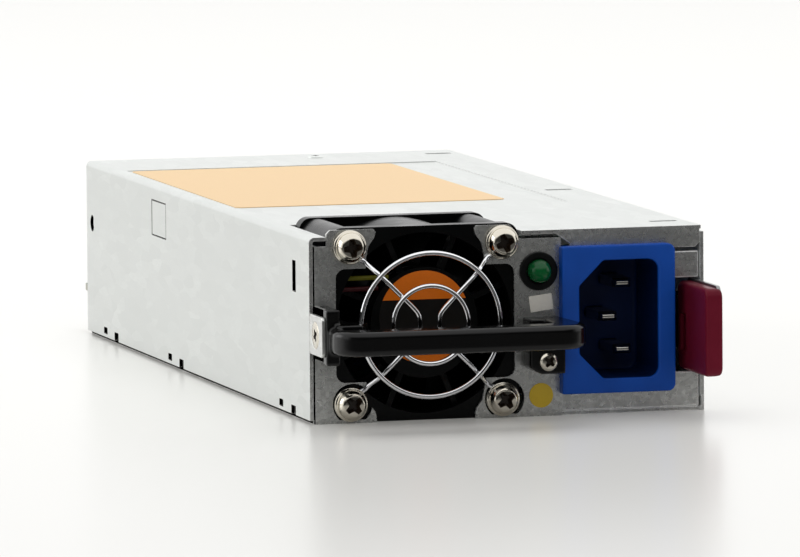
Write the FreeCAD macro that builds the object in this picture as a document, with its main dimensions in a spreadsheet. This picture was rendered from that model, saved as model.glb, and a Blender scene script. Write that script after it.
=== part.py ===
"""Hot swap server power supply: metal case, fan, mains inlet, carry handle, sprung latch and circuit boards.

Frame: X to the right across the front, Y from the front to the rear, Z up, origin mid underside.
Lengths are in millimetres. Depths in the code are measured from the front face of the case.
"""
import FreeCAD, Part
import math
import os
from types import SimpleNamespace

import Sketcher
from FreeCAD import Placement, Rotation, Vector

SIZES = {
    # case
    "case_height": 39.2,
    "case_length": 195.6,
    "sheet_wall": 0.8,
    "cover_bend": 1.2,
    "joint_gap": 0.1,
    "lip_height": 4.55,
    "panel_drop": 1.7,
    "recess_depth": 0.2,
    "recess_margin": 2.6,
    "recess_length": 106.0,
    "recess_right": 11.5,
    "side_lip": 7.0,
    "side_gap": 0.4,
    # fan
    "fan_margin": 4.76,
    "fan_size": 40.8,
    "fan_length": 28.0,
    "fan_floor": 0.1,
    "fan_flange": 3.4,
    "fan_bore": 38.0,
    "fan_pitch": 33.0,
    "fan_hole": 4.3,
    "hub_radius": 11.6,
    "hub_label_radius": 9.75,
    "hub_label_lift": 1.2,
    "blade_count": 7,
    "strut_count": 8,
    "shaft_radius": 1.5,
    "running_gap": 0.05,
    "blade_gap": 0.7,
    # fan guard and its screws
    "guard_wire": 1.05,
    "guard_ring": 30.2,
    "guard_inner_ring": 16.0,
    "guard_step": 2.6,
    "screw_head": 7.2,
    "screw_rise": 2.6,
    "screw_shank": 3.9,
    "screw_length": 12.0,
    # lamp column
    "lamp_column": 9.14,
    "lamp_inset": 4.96,
    "lamp_rise": 30.65,
    "lamp_size": 5.0,
    "bezel_size": 8.2,
    # mains inlet
    "inlet_width": 24.75,
    "inlet_tall": 31.2,
    "inlet_rim": 2.7,
    "inlet_body_width": 21.3,
    "inlet_body_tall": 28.2,
    "inlet_body_length": 17.0,
    "inlet_rim_round": 1.6,
    "socket_width": 17.2,
    "socket_tall": 24.9,
    "socket_deep": 16.5,
    "socket_chamfer": 5.2,
    "pin_wide": 4.0,
    "pin_thick": 2.0,
    "pin_pitch": 14.0,
    "pin_offset": 3.1,
    "pin_taper": 1.0,
    # latch
    "latch_room": 2.35,
    "tab_thick": 3.7,
    "tab_tall": 18.6,
    "tab_reach": 17.2,
    "tab_rise": 8.7,
    "tab_round": 1.4,
    "arm_thick": 0.8,
    "pivot_depth": 72.0,
    "pivot_radius": 1.5,
    "catch_depth": 8.0,
    "catch_length": 10.0,
    "catch_reach": 1.5,
    # handle
    "grip_reach": 20.4,
    "grip_thick": 6.0,
    "grip_tall": 5.2,
    "grip_rise": 15.9,
    "grip_round": 1.3,
    "grip_corner": 6.0,
    "arm_wide": 5.3,
    "strap_reach": 10.2,
    "strap_tall": 8.4,
    # boards
    "board_thick": 1.6,
    "board_rise": 4.7,
    "board_gap": 4.0,
    "edge_reach": 9.0,
    "edge_width": 50.0,
    "capacitor_size": 24.0,
    "capacitor_length": 40.0,
    "core_tall": 26.0,
    "label_thick": 0.15,
}


class Size:
    """A number together with the spreadsheet formula that gives it."""

    def __init__(self, number, formula):
        self.number = number
        self.formula = formula

    def joined(self, sign, other, number):
        return Size(number, f"({self.formula} {sign} {other.formula})")

    def __add__(self, other):
        other = as_size(other)
        return self.joined("+", other, self.number + other.number)

    def __sub__(self, other):
        other = as_size(other)
        return self.joined("-", other, self.number - other.number)

    def __mul__(self, other):
        other = as_size(other)
        return self.joined("*", other, self.number * other.number)

    def __truediv__(self, other):
        other = as_size(other)
        return self.joined("/", other, self.number / other.number)

    def __radd__(self, other):
        return as_size(other) + self

    def __rsub__(self, other):
        return as_size(other) - self

    def __rmul__(self, other):
        return as_size(other) * self

    def __neg__(self):
        return as_size(0) - self


def as_size(value):
    """A plain number as a Size, so that both can be mixed in one sum."""
    if isinstance(value, Size):
        return value
    return Size(float(value), f"({float(value)})")


def num(value):
    """The number behind a Size or a plain number."""
    return as_size(value).number


doc = FreeCAD.newDocument("hot_swap_supply")


def make_sheet():
    """Writes every driving size into the spreadsheet and gives back one Size for each."""
    sheet = doc.addObject("Spreadsheet::Sheet", "sizes")
    named = {}
    for row, (alias, value) in enumerate(SIZES.items(), start=1):
        sheet.set(f"A{row}", alias)
        sheet.set(f"B{row}", str(value))
        sheet.setAlias(f"B{row}", alias)
        named[alias] = Size(value, f"sizes.{alias}")
    doc.recompute()
    return SimpleNamespace(**named)


s = make_sheet()
PARTS = []

# ---------------------------------------------------------------- places worked out from the sizes
WALL = s.sheet_wall
GAP = s.joint_gap
TOP = s.case_height
FRONT = -s.case_length / 2
REAR = s.case_length / 2
CASE_WIDTH = (s.fan_margin + s.fan_size + s.lamp_column - 0.5 + s.inlet_width + s.latch_room + s.tab_thick
              + 2 * GAP + WALL)
LEFT = -CASE_WIDTH / 2
RIGHT = CASE_WIDTH / 2
INNER_LEFT = LEFT + WALL
PLATE_LEFT = INNER_LEFT + s.side_gap
INNER_RIGHT = RIGHT - WALL
UNDER_TOP = TOP - WALL
FAN_LEFT = LEFT + s.fan_margin
FAN_RIGHT = FAN_LEFT + s.fan_size
FAN_X = FAN_LEFT + s.fan_size / 2
FAN_Z = s.fan_floor + s.fan_size / 2
FAN_TOP = s.fan_floor + s.fan_size
PANEL_RIGHT = FAN_RIGHT + s.lamp_column
PANEL_TOP = TOP - s.panel_drop
LAMP_X = PANEL_RIGHT - s.lamp_inset
LIP_LOW = TOP - s.lip_height
INLET_LEFT = PANEL_RIGHT - 0.5
INLET_RIGHT = INLET_LEFT + s.inlet_width
INLET_X = INLET_LEFT + s.inlet_width / 2
INLET_Z = LIP_LOW - 0.35 - s.inlet_body_tall / 2
TAB_LEFT = INLET_RIGHT + s.latch_room
TAB_RIGHT = TAB_LEFT + s.tab_thick
TAB_TOP = s.tab_rise + s.tab_tall
ARM_RIGHT = TAB_RIGHT - 0.05
ARM_LEFT = ARM_RIGHT - s.arm_thick
GRIP_TOP = s.grip_rise + s.grip_tall
BOARD_LOW = WALL + s.board_rise
BOARD_TOP = BOARD_LOW + s.board_thick


def deep(distance):
    """The Y of a depth measured from the front face of the case."""
    return FRONT + distance


FAN_FRONT = deep(WALL + GAP)
FAN_REAR = FAN_FRONT + s.fan_length
BOARD_FRONT = FAN_REAR + s.board_gap
BOARD_REAR = REAR - WALL - 4.0
BOARD_LEFT = INNER_LEFT + 2.6
BOARD_RIGHT = RIGHT - 8.0
BULK_FRONT = BOARD_FRONT + 38
SWITCH_FRONT = BULK_FRONT + s.capacitor_length + 4
OUTPUT_FRONT = BOARD_REAR - 34
SWITCH_LENGTH = OUTPUT_FRONT - 4.3 - SWITCH_FRONT


# ---------------------------------------------------------------- drawing helpers
def bind(thing, name, value):
    """Ties one property of a document object to a spreadsheet formula."""
    thing.setExpression(name, as_size(value).formula)


def box(name, across, along, high):
    """A block given by its low and high ends in X, Y and Z."""
    block = doc.addObject("Part::Box", name)
    sides = zip(("Length", "Width", "Height"), "xyz", (across, along, high))
    for side, place, (low, top) in sides:
        bind(block, side, as_size(top) - low)
        bind(block, f"Placement.Base.{place}", low)
    return block


TURNS = {
    "x": Rotation(Vector(0, 1, 0), 90),
    "y": Rotation(Vector(1, 0, 0), -90),
    "z": Rotation(),
}


def lay_along(thing, axis, start, centre):
    """Turns a round primitive onto an axis; the centre holds its place on the other two axes, in order."""
    thing.Placement = Placement(Vector(), TURNS[axis])
    others = [letter for letter in "xyz" if letter != axis]
    bind(thing, f"Placement.Base.{axis}", start)
    for letter, place in zip(others, centre):
        bind(thing, f"Placement.Base.{letter}", place)


def rod(name, axis, radius, ends, centre):
    """A round bar along an axis from one end to the other."""
    bar = doc.addObject("Part::Cylinder", name)
    bind(bar, "Radius", radius)
    bind(bar, "Height", as_size(ends[1]) - ends[0])
    lay_along(bar, axis, ends[0], centre)
    return bar


def cone(name, axis, radii, ends, centre):
    """A cone along an axis, from its first radius at the first end to its second."""
    taper = doc.addObject("Part::Cone", name)
    bind(taper, "Radius1", radii[0])
    bind(taper, "Radius2", radii[1])
    bind(taper, "Height", as_size(ends[1]) - ends[0])
    lay_along(taper, axis, ends[0], centre)
    return taper


def fuse(name, *pieces):
    """One solid out of several that touch or overlap, or one group out of several that don't."""
    joined = doc.addObject("Part::MultiFuse", name)
    joined.Shapes = list(pieces)
    joined.Refine = True
    return joined


def cut(name, base, *tools):
    """The base with every tool taken out of it."""
    result = doc.addObject("Part::Cut", name)
    result.Base = base
    result.Tool = tools[0] if len(tools) == 1 else fuse(f"{name}_tools", *tools)
    result.Refine = True
    return result


def common(name, *pieces):
    """What all the pieces share."""
    shared = doc.addObject("Part::MultiCommon", name)
    shared.Shapes = list(pieces)
    return shared


def feature(name, shape, place=(0, 0, 0)):
    """A piece whose shape is worked out in code from the sheet's sizes, then carried to its place."""
    thing = doc.addObject("Part::Feature", name)
    thing.Shape = shape
    thing.Placement = Placement(Vector(*[num(value) for value in place]), Rotation())
    return thing


def keep(piece, label):
    """Marks a finished sub-part and gives it its name."""
    piece.Label = label
    PARTS.append(piece)
    return piece


def ring(name, axis, outer, inner, ends, centre):
    """A tube along an axis."""
    overrun = (as_size(ends[0]) - 1, as_size(ends[1]) + 1)
    body = rod(f"{name}_outer", axis, outer, ends, centre)
    return cut(name, body, rod(f"{name}_bore", axis, inner, overrun, centre))


def new_body(name):
    """An empty PartDesign body."""
    return doc.addObject("PartDesign::Body", name)


def draw_on(body, role, offset):
    """A sketch on one of the body's own origin planes, moved along the plane's normal."""
    sketch = body.newObject("Sketcher::SketchObject", f"{body.Name}_sketch")
    plane = next(item for item in body.Origin.OriginFeatures if item.Role == role)
    sketch.AttachmentSupport = (plane, [""])
    sketch.MapMode = "FlatFace"
    bind(sketch, "AttachmentOffset.Base.z", offset)
    return sketch


def pin_point(sketch, line, end, x, y):
    """Holds one end of a line at a place given by two formulas."""
    for kind, value in (("DistanceX", x), ("DistanceY", y)):
        index = sketch.addConstraint(Sketcher.Constraint(kind, -1, 1, line, end, num(value)))
        bind(sketch, f"Constraints[{index}]", value)


def draw_outline(sketch, corners):
    """A closed outline with straight sides; every corner follows the spreadsheet."""
    first = sketch.GeometryCount
    places = [Vector(num(x), num(y), 0) for x, y in corners]
    for here, there in zip(places, places[1:] + places[:1]):
        sketch.addGeometry(Part.LineSegment(here, there), False)
    count = len(corners)
    for index in range(count):
        following = first + (index + 1) % count
        sketch.addConstraint(Sketcher.Constraint("Coincident", first + index, 2, following, 1))
    for index, (x, y) in enumerate(corners):
        pin_point(sketch, first + index, 1, x, y)


def draw_circle(sketch, x, y, radius):
    """A circle held at its centre and by its radius."""
    middle = Vector(num(x), num(y), 0)
    index = sketch.addGeometry(Part.Circle(middle, Vector(0, 0, 1), num(radius)), False)
    pin_point(sketch, index, 3, x, y)
    held = sketch.addConstraint(Sketcher.Constraint("Radius", index, num(radius)))
    bind(sketch, f"Constraints[{held}]", radius)


def pad(body, sketch, length, backward=False):
    """The sketch drawn out into a solid."""
    drawn = body.newObject("PartDesign::Pad", f"{body.Name}_pad")
    drawn.Profile = sketch
    bind(drawn, "Length", length)
    drawn.Reversed = backward
    doc.recompute()
    return drawn


def soften(body, base, radius, wanted):
    """Rounds the edges of a body that a test picks out by their middle point and direction."""
    names = []
    for index, edge in enumerate(base.Shape.Edges, start=1):
        middle = edge.valueAt((edge.FirstParameter + edge.LastParameter) / 2)
        run = edge.tangentAt((edge.FirstParameter + edge.LastParameter) / 2)
        if wanted(middle, run):
            names.append(f"Edge{index}")
    rounded = body.newObject("PartDesign::Fillet", f"{body.Name}_round")
    rounded.Base = (base, names)
    bind(rounded, "Radius", radius)
    body.Tip = rounded
    doc.recompute()
    return rounded


def plate(name, corners, faces, circles=()):
    """A flat plate that faces the front: an outline in X and Z between two Y faces, with round holes."""
    body = new_body(name)
    sketch = draw_on(body, "XZ_Plane", -as_size(faces[1]))
    draw_outline(sketch, corners)
    for x, z, radius in circles:
        draw_circle(sketch, x, z, radius)
    pad(body, sketch, as_size(faces[1]) - faces[0])
    return body


def rounded_block(name, across, along, high, radius, wanted):
    """A block made in a body, with chosen edges rounded."""
    body = new_body(name)
    sketch = draw_on(body, "XY_Plane", high[0])
    corners = [(across[0], along[0]), (across[1], along[0]), (across[1], along[1]), (across[0], along[1])]
    draw_outline(sketch, corners)
    base = pad(body, sketch, as_size(high[1]) - high[0])
    soften(body, base, radius, wanted)
    return body


def along_axis(letter):
    """A test for straight edges that run along one axis."""
    def wanted(middle, run):
        return abs(getattr(run, letter)) > 0.99
    return wanted


def rounded_path(points, radii):
    """Straight runs between points, joined by tangent arcs of the given radii at the inner points."""
    edges = []
    start = points[0]
    for index in range(1, len(points) - 1):
        before = (points[index - 1] - points[index]).normalize()
        after = (points[index + 1] - points[index]).normalize()
        opening = before.getAngle(after)
        radius = radii[index - 1]
        back = radius / math.tan(opening / 2)
        first = points[index] + before * back
        last = points[index] + after * back
        inward = (before + after).normalize()
        middle = points[index] + inward * (radius / math.sin(opening / 2) - radius)
        edges.append(Part.LineSegment(start, first).toShape())
        edges.append(Part.Arc(first, middle, last).toShape())
        start = last
    edges.append(Part.LineSegment(start, points[-1]).toShape())
    return edges


def tube(edges, radius):
    """A round wire or lead along a path of touching edges."""
    path = Part.Wire(edges)
    start = edges[0].valueAt(edges[0].FirstParameter)
    heading = edges[0].tangentAt(edges[0].FirstParameter)
    section = Part.Wire([Part.makeCircle(radius, start, heading)])
    return path.makePipeShell([section], True, True)


def spot(x, depth, z):
    """A point given by X, the depth behind the front face, and Z, as numbers."""
    return Vector(num(x), num(deep(depth)), num(z))


# ---------------------------------------------------------------- case
SLOT_DEPTHS = (10.0, 88.5, 186.0)
NOTCH_DEPTHS = (21.9, 117.7, 177.0)


def make_top_cover():
    """Folded lid: the top, the left side and a short lip down over the mains inlet."""
    skin = rounded_block("cover_skin", (LEFT, RIGHT - 0.6), (FRONT, REAR), (WALL, TOP), s.cover_bend,
                         lambda middle, run: abs(run.y) > 0.99 and middle.x < 0 and middle.z > 1)
    hollow = rounded_block("cover_hollow", (INNER_LEFT, RIGHT), (FRONT - 1, REAR + 1), (-1, UNDER_TOP), 0.4,
                           lambda middle, run: abs(run.y) > 0.99 and middle.x < 0 and middle.z > 1)
    folded = cut("cover_folded", skin, hollow)
    lip_right = INNER_RIGHT - GAP
    lip_corners = [(INLET_LEFT - 0.6, UNDER_TOP), (lip_right, UNDER_TOP), (lip_right, LIP_LOW + 1),
                   (lip_right - 1, LIP_LOW), (INLET_LEFT + 2.5, LIP_LOW), (INLET_LEFT + 2.5, TOP - 3)]
    lip = plate("cover_lip", lip_corners, (FRONT, deep(WALL)))
    recess_rear = REAR - 27.6
    recess_front = recess_rear - s.recess_length
    recess_across = (LEFT + s.recess_margin, RIGHT - s.recess_right)
    pan = box("cover_pan", (recess_across[0] - 0.5, recess_across[1] + 0.5),
              (recess_front - 0.5, recess_rear + 0.5), (UNDER_TOP - s.recess_depth, UNDER_TOP + 0.1))
    joined = fuse("cover_joined", folded, lip, pan)
    tools = [
        box("cover_recess", recess_across, (recess_front, recess_rear), (TOP - s.recess_depth, TOP + 1)),
        box("cover_fan_notch", (FAN_LEFT - 1.1, FAN_RIGHT + 0.6), (FRONT - 1, FAN_REAR + 0.6),
            (UNDER_TOP - 2, TOP + 1)),
        box("cover_side_slot", (LEFT - 1, INNER_LEFT + 1), (deep(10.8), deep(13.7)), (26.8, 33.4)),
        cut("cover_lance",
            box("cover_lance_edge", (LEFT - 1, LEFT + 0.3), (deep(122), deep(135)), (27.8, 35.8)),
            box("cover_lance_face", (LEFT - 2, LEFT + 1), (deep(122.35), deep(134.4)), (28.1, 35.5))),
        rod("cover_side_hole", "x", 1.85, (LEFT - 1, INNER_LEFT + 1), (deep(190.5), 25.5)),
        rod("cover_screw_hole", "z", 1.0, (UNDER_TOP - 2, TOP + 1), COVER_SCREW),
    ]
    for number, depth in enumerate(SLOT_DEPTHS):
        tools.append(box(f"cover_slot_{number}", (RIGHT - 8.5, RIGHT - 2.5), (deep(depth), deep(depth + 2.4)),
                         (UNDER_TOP - 1, TOP + 1)))
    across = (LEFT - 1, INNER_LEFT + 0.4)
    for number, depth in enumerate(NOTCH_DEPTHS):
        hole = (deep(depth), deep(depth + 3.4))
        notch = (deep(depth - 10.3), deep(depth - 6.5))
        tools.append(box(f"cover_foot_hole_{number}", across, hole, (1.5, 3.0)))
        tools.append(box(f"cover_foot_notch_{number}", across, notch, (0, 2.7)))
    keep(cut("cover_finished", joined, *tools), "top_cover")


def make_base_tray():
    """Folded tray: the underside, the right side with the catch window, and a low inner lip on the left."""
    floor_across = (INNER_LEFT + GAP, RIGHT)
    floor = box("tray_floor", floor_across, (deep(WALL), REAR), (0, WALL))
    wall = box("tray_wall", (INNER_RIGHT, RIGHT), (FRONT, REAR), (0, TOP - 1.3))
    lip = box("tray_lip", (INNER_LEFT + GAP, INNER_LEFT + GAP + WALL), (FAN_REAR + 2, REAR - 1),
              (0, s.side_lip))
    lugs = [box(f"tray_lug_{name}", (RIGHT - 6.6, INNER_RIGHT),
                (deep(s.pivot_depth - 3), deep(s.pivot_depth + 3)),
                (low, low + 1.6)) for name, low in (("low", 9.8), ("high", 24.8))]
    joined = fuse("tray_joined", floor, wall, lip, *lugs)
    pivot = (PIVOT_X, deep(s.pivot_depth))
    tools = [
        box("tray_fan_gap", (FAN_LEFT - 0.4, FAN_RIGHT + 0.4), (FRONT - 1, FAN_REAR + 0.4), (-1, WALL + 1)),
        box("tray_window", (INNER_RIGHT - 1, RIGHT + 1),
            (deep(s.catch_depth - 1), deep(s.catch_depth + s.catch_length + 1.5)), (13, 23)),
        rod("tray_pivot_hole", "z", s.pivot_radius + 0.02, (5, 30), pivot),
        box("tray_corner", (INNER_RIGHT - 0.6, INNER_RIGHT + 0.2), (FRONT - 1, deep(2.0)), (0.9, 3.0)),
    ]
    keep(cut("tray_finished", joined, *tools), "base_tray")


EYE_RADIUS = 2.6
EYE_LOW = 14.4
PIVOT_X = ARM_RIGHT - EYE_RADIUS
EAR_TOP = FAN_TOP - 0.3
EAR_EDGE = ((5.0, 5.0), (5.0, 4.0), (5.8, 3.0), (5.5, 1.8), (4.2, 0.0), (3.7, -2.5), (3.5, -6.0))


def ear_gap(name, level, through):
    """The rounded gap between the two upper or the two lower fan ears, which flare away from the middle."""
    half = s.fan_pitch / 2
    side = [(half - across, FAN_Z + (half + out) * level) for across, out in EAR_EDGE]
    corners = [(FAN_X - x, z) for x, z in side] + [(FAN_X + x, z) for x, z in reversed(side)]
    gap = plate(name, corners, through)
    limit = num(FAN_Z + half * level) - level * 4.0
    soften(gap, gap.Tip, 0.4, lambda middle, run: abs(run.y) > 0.99 and (middle.z - limit) * level > 0)
    return gap


def make_front_plates():
    """Two plates, left and right of the fan: two fan ears each, folded returns, and the handle's forward
    tab."""
    left = PLATE_LEFT
    faces = (FRONT, deep(WALL))
    half = s.fan_pitch / 2
    ear_left = FAN_LEFT - 0.95
    ear_right = FAN_X + half + 2.6
    blank = [(left, 0), (PANEL_RIGHT, 0), (PANEL_RIGHT, PANEL_TOP), (ear_right, PANEL_TOP),
             (ear_right, EAR_TOP - 0.8), (ear_right - 0.8, EAR_TOP), (ear_left + 0.8, EAR_TOP),
             (ear_left, EAR_TOP - 0.8), (ear_left, PANEL_TOP - 0.3), (left, PANEL_TOP - 0.3)]
    sheet = plate("panel_blank", blank, faces)
    returns = [
        box("panel_left_return", (left, left + WALL), (deep(0.1), deep(8)), (WALL, PANEL_TOP - 0.3)),
        box("panel_right_return", (PANEL_RIGHT - WALL, PANEL_RIGHT), (deep(0.1), deep(3)), (WALL, LIP_LOW)),
        box("panel_top_return", (FAN_RIGHT + 1, PANEL_RIGHT), (deep(0.1), deep(6)),
            (PANEL_TOP - WALL, PANEL_TOP)),
        rounded_block("panel_tab", (left, left + WALL), (deep(-7.8), deep(0.1)), (13.8, 24.8), 1.0,
                      lambda middle, run: abs(run.x) > 0.99 and middle.y < num(FRONT)),
    ]
    joined = fuse("panel_joined", sheet, *returns)
    through = (FRONT - 1, deep(WALL + 1))
    low_edge = FAN_Z - 12.0
    high_edge = FAN_Z + 11.9
    tools = [
        rounded_block("panel_opening", (FAN_LEFT + 1.0, FAN_RIGHT - 1.0), through, (low_edge, high_edge), 2.0,
                      along_axis("y")),
        ear_gap("panel_top_gap", 1, through),
        ear_gap("panel_low_gap", -1, through),
        rod("panel_lamp_hole", "y", s.bezel_size / 2 - 0.5, through, (LAMP_X, s.lamp_rise)),
        rod("panel_tab_hole", "x", 1.7, (left - 1, left + WALL + 1), (deep(-4.6), 19.2)),
        rod("panel_foot_hole", "y", 1.6, through, (FOOT_X, FOOT_Z)),
    ]
    for name, side in (("left", -1), ("right", 1)):
        hole_x = FAN_X + half * side
        tools.append(rod(f"panel_low_round_{name}", "y", 4.3, through, (hole_x + 0.6, FAN_Z - half)))
        tools.append(rod(f"panel_high_hole_{name}", "y", s.fan_hole / 2, through, (hole_x, FAN_Z + half)))
    opened = cut("panel_cut", joined, *tools)
    sill_end = half - EAR_EDGE[2][0]
    halves = (("left", (left - 1, FAN_X), (left, FAN_X - sill_end)),
              ("right", (FAN_X, PANEL_RIGHT + 1), (FAN_X + sill_end, PANEL_RIGHT)))
    for name, side, sill_ends in halves:
        half_space = box(f"panel_half_{name}", side, (deep(-s.tab_reach), deep(s.tab_reach)), (-1, TOP + 5))
        sill = box(f"panel_sill_{name}", sill_ends, faces, (0, 0.7))
        keep(fuse(f"panel_finished_{name}", common(f"panel_side_{name}", opened, half_space), sill),
             f"front_plate_{name}")


FOOT_X = PANEL_RIGHT - 4.9
FOOT_Z = as_size(12.2)


def make_inlet_panel():
    """Plate behind the mains inlet, open on the right where the latch passes."""
    faces = (deep(WALL), deep(2 * WALL))
    corners = [(PANEL_RIGHT + GAP, WALL), (INNER_RIGHT - GAP, WALL), (INNER_RIGHT - GAP, s.tab_rise - 0.4),
               (INLET_RIGHT - 0.5, s.tab_rise - 0.4), (INLET_RIGHT - 0.5, TAB_TOP + 0.8),
               (INNER_RIGHT - GAP, TAB_TOP + 0.8), (INNER_RIGHT - GAP, LIP_LOW - 0.9),
               (PANEL_RIGHT + GAP, LIP_LOW - 0.9)]
    sheet = plate("inlet_panel_blank", corners, faces)
    window = box("inlet_panel_window",
                 (INLET_X - s.inlet_body_width / 2 - GAP, INLET_X + s.inlet_body_width / 2 + GAP),
                 (FRONT, deep(3)),
                 (INLET_Z - s.inlet_body_tall / 2 - GAP, INLET_Z + s.inlet_body_tall / 2 + GAP))
    foot = box("inlet_panel_foot", (PANEL_RIGHT + 2, INNER_RIGHT - 2), (deep(WALL), deep(9)),
               (WALL, 2 * WALL))
    keep(cut("inlet_panel_finished", fuse("inlet_panel_joined", sheet, foot), window), "inlet_panel")


VENT_ROWS = 5
VENT_COLUMNS = 12
VENT_PITCH = 4.6


def make_rear_panel():
    """Rear plate with a vent of round holes and the slot for the card edge."""
    body = plate("rear_blank", [(INNER_LEFT + WALL + 2 * GAP, WALL), (INNER_RIGHT - GAP, WALL),
                                (INNER_RIGHT - GAP, UNDER_TOP - GAP),
                                (INNER_LEFT + WALL + 2 * GAP, UNDER_TOP - GAP)],
                 (REAR - WALL, REAR))
    holes = draw_on(body, "XZ_Plane", -REAR)
    for row in range(VENT_ROWS):
        draw_circle(holes, INNER_LEFT + 7, BOARD_TOP + 9 + VENT_PITCH * row, 1.75)
    doc.recompute()
    vent = body.newObject("PartDesign::Pocket", "rear_vent")
    vent.Profile = holes
    bind(vent, "Length", WALL + 1)
    vent.Reversed = True
    before = body.Shape.Volume
    doc.recompute()
    if vent.Shape.Volume >= before - 1:
        raise RuntimeError("the vent pocket cuts nothing")
    columns = body.newObject("PartDesign::LinearPattern", "rear_columns")
    columns.Originals = [vent]
    columns.Direction = (holes, ["H_Axis"])
    bind(columns, "Length", VENT_PITCH * (VENT_COLUMNS - 1))
    columns.Occurrences = VENT_COLUMNS
    body.Tip = columns
    doc.recompute()
    slot = box("rear_slot", (EDGE_LEFT - 0.6, EDGE_RIGHT + 0.6), (REAR - 2, REAR + 1),
               (EDGE_LOW - 1.2, EDGE_TOP + 1.6))
    outlet = box("rear_outlet", (INNER_RIGHT - 17, INNER_RIGHT - 5), (REAR - 2, REAR + 1),
                 (BOARD_TOP + 8.5, BOARD_TOP + 27))
    tab = box("rear_tab", (COVER_SCREW[0] - 6, COVER_SCREW[0] + 6), (REAR - 14, REAR),
              (UNDER_TOP - GAP - WALL, UNDER_TOP - GAP))
    joined = fuse("rear_joined", cut("rear_open", body, slot, outlet), tab)
    screw_hole = rod("rear_screw_hole", "z", 1.0, (UNDER_TOP - 4, TOP), COVER_SCREW)
    keep(cut("rear_finished", joined, screw_hole), "rear_panel")


COVER_SCREW = (RIGHT - 34.7, REAR - 9.0)


def make_cover_screw():
    """Small screw in the top that holds the cover to the rear panel's tab."""
    head = rod("cover_screw_head", "z", 1.9, (TOP, TOP + 0.8), COVER_SCREW)
    shank = rod("cover_screw_shank", "z", 0.98, (TOP - 3.5, TOP + 0.5), COVER_SCREW)
    recess = cross_recess("cover_screw", "z", TOP + 0.2, 0.7, as_size(2.0), COVER_SCREW)
    keep(cut("cover_screw_cut", fuse("cover_screw_joined", head, shank), *recess), "cover_screw")


EDGE_LOW = BOARD_TOP + 1.9
EDGE_TOP = EDGE_LOW + s.board_thick
EDGE_LEFT = LEFT + 1.5
EDGE_RIGHT = EDGE_LEFT + s.edge_width


# ---------------------------------------------------------------- fan
BORE = s.fan_bore / 2
BASE_FRONT = FAN_FRONT + s.label_thick
BASE_REAR = BASE_FRONT + 5.0
TUBE_RADIUS = s.shaft_radius + 2.6
CUP_REAR = FAN_REAR - 1.2
CUP_FRONT = BASE_REAR + 1.0
WIRE_LOW = FAN_Z + 6.0
WIRE_HIGH = FAN_Z + 11.0


def screw_places():
    """The four fan fixing points, as X and Z."""
    half = s.fan_pitch / 2
    return [(FAN_X + half * side, FAN_Z + half * level) for level in (1, -1) for side in (-1, 1)]


def make_fan_frame():
    """Fan housing: two square flanges, a round barrel and corner posts, open through the middle."""
    across = (FAN_LEFT, FAN_RIGHT)
    tall = (s.fan_floor, FAN_TOP)
    bands = (("front", FAN_FRONT, FAN_FRONT + s.fan_flange), ("rear", FAN_REAR - s.fan_flange, FAN_REAR))
    pieces = [rounded_block(f"fan_{name}_flange", across, (low, high), tall, 2.6, along_axis("y"))
              for name, low, high in bands]
    pieces.append(rod("fan_barrel", "y", s.fan_size / 2 - 0.25, (FAN_FRONT, FAN_REAR), (FAN_X, FAN_Z)))
    for number, place in enumerate(screw_places()):
        pieces.append(rod(f"fan_post_{number}", "y", 3.7, (FAN_FRONT + s.fan_flange + 2, FAN_REAR), place))
    shell = fuse("fan_shell", *pieces)
    over = (FAN_FRONT - 1, FAN_REAR + 1)
    tools = [rod("fan_bore_cut", "y", BORE, over, (FAN_X, FAN_Z)),
             box("fan_lead_notch", (FAN_LEFT - 1, FAN_X - 14), (FAN_FRONT + 0.8, FAN_FRONT + 8.4),
                 (WIRE_LOW, WIRE_HIGH))]
    for number, place in enumerate(screw_places()):
        tools.append(rod(f"fan_hole_{number}", "y", s.fan_hole / 2, over, place))
    keep(cut("fan_frame_finished", shell, *tools), "fan_frame")


def make_fan_motor_mount():
    """The middle of the housing: the motor base, its bearing tube and the struts that reach the barrel."""
    base = rod("fan_base", "y", s.hub_radius, (BASE_FRONT, BASE_REAR), (FAN_X, FAN_Z))
    bearing_tube = rod("fan_tube", "y", TUBE_RADIUS, (BASE_FRONT, CUP_REAR - 3), (FAN_X, FAN_Z))
    seat = rod("fan_tube_bore", "y", TUBE_RADIUS - 0.9, (BASE_FRONT + 1.2, CUP_REAR - 2), (FAN_X, FAN_Z))
    struts = []
    for number in range(int(SIZES["strut_count"])):
        strut = box(f"fan_strut_{number}", (s.hub_radius - 1, BORE + 1), (BASE_FRONT + 2.6, BASE_REAR),
                    (-0.6, 0.6))
        angle = 360.0 * number / SIZES["strut_count"] + 22.5
        struts.append(turned(f"fan_strut_turned_{number}", strut, angle))
    reach = rod("fan_mount_reach", "y", BORE, (BASE_FRONT - 1, CUP_REAR), (FAN_X, FAN_Z))
    whole = common("fan_mount_whole", fuse("fan_mount_joined", base, bearing_tube, *struts), reach)
    keep(cut("fan_mount_finished", whole, seat), "fan_motor_mount")


def turned(name, piece, angle):
    """A piece drawn about the Y axis at the origin, turned about it and carried to the fan's axis."""
    copy = doc.addObject("Part::Compound", name)
    copy.Links = [piece]
    copy.Placement = Placement(Vector(), Rotation(Vector(0, 1, 0), -angle))
    bind(copy, "Placement.Base.x", FAN_X)
    bind(copy, "Placement.Base.z", FAN_Z)
    return copy


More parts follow.
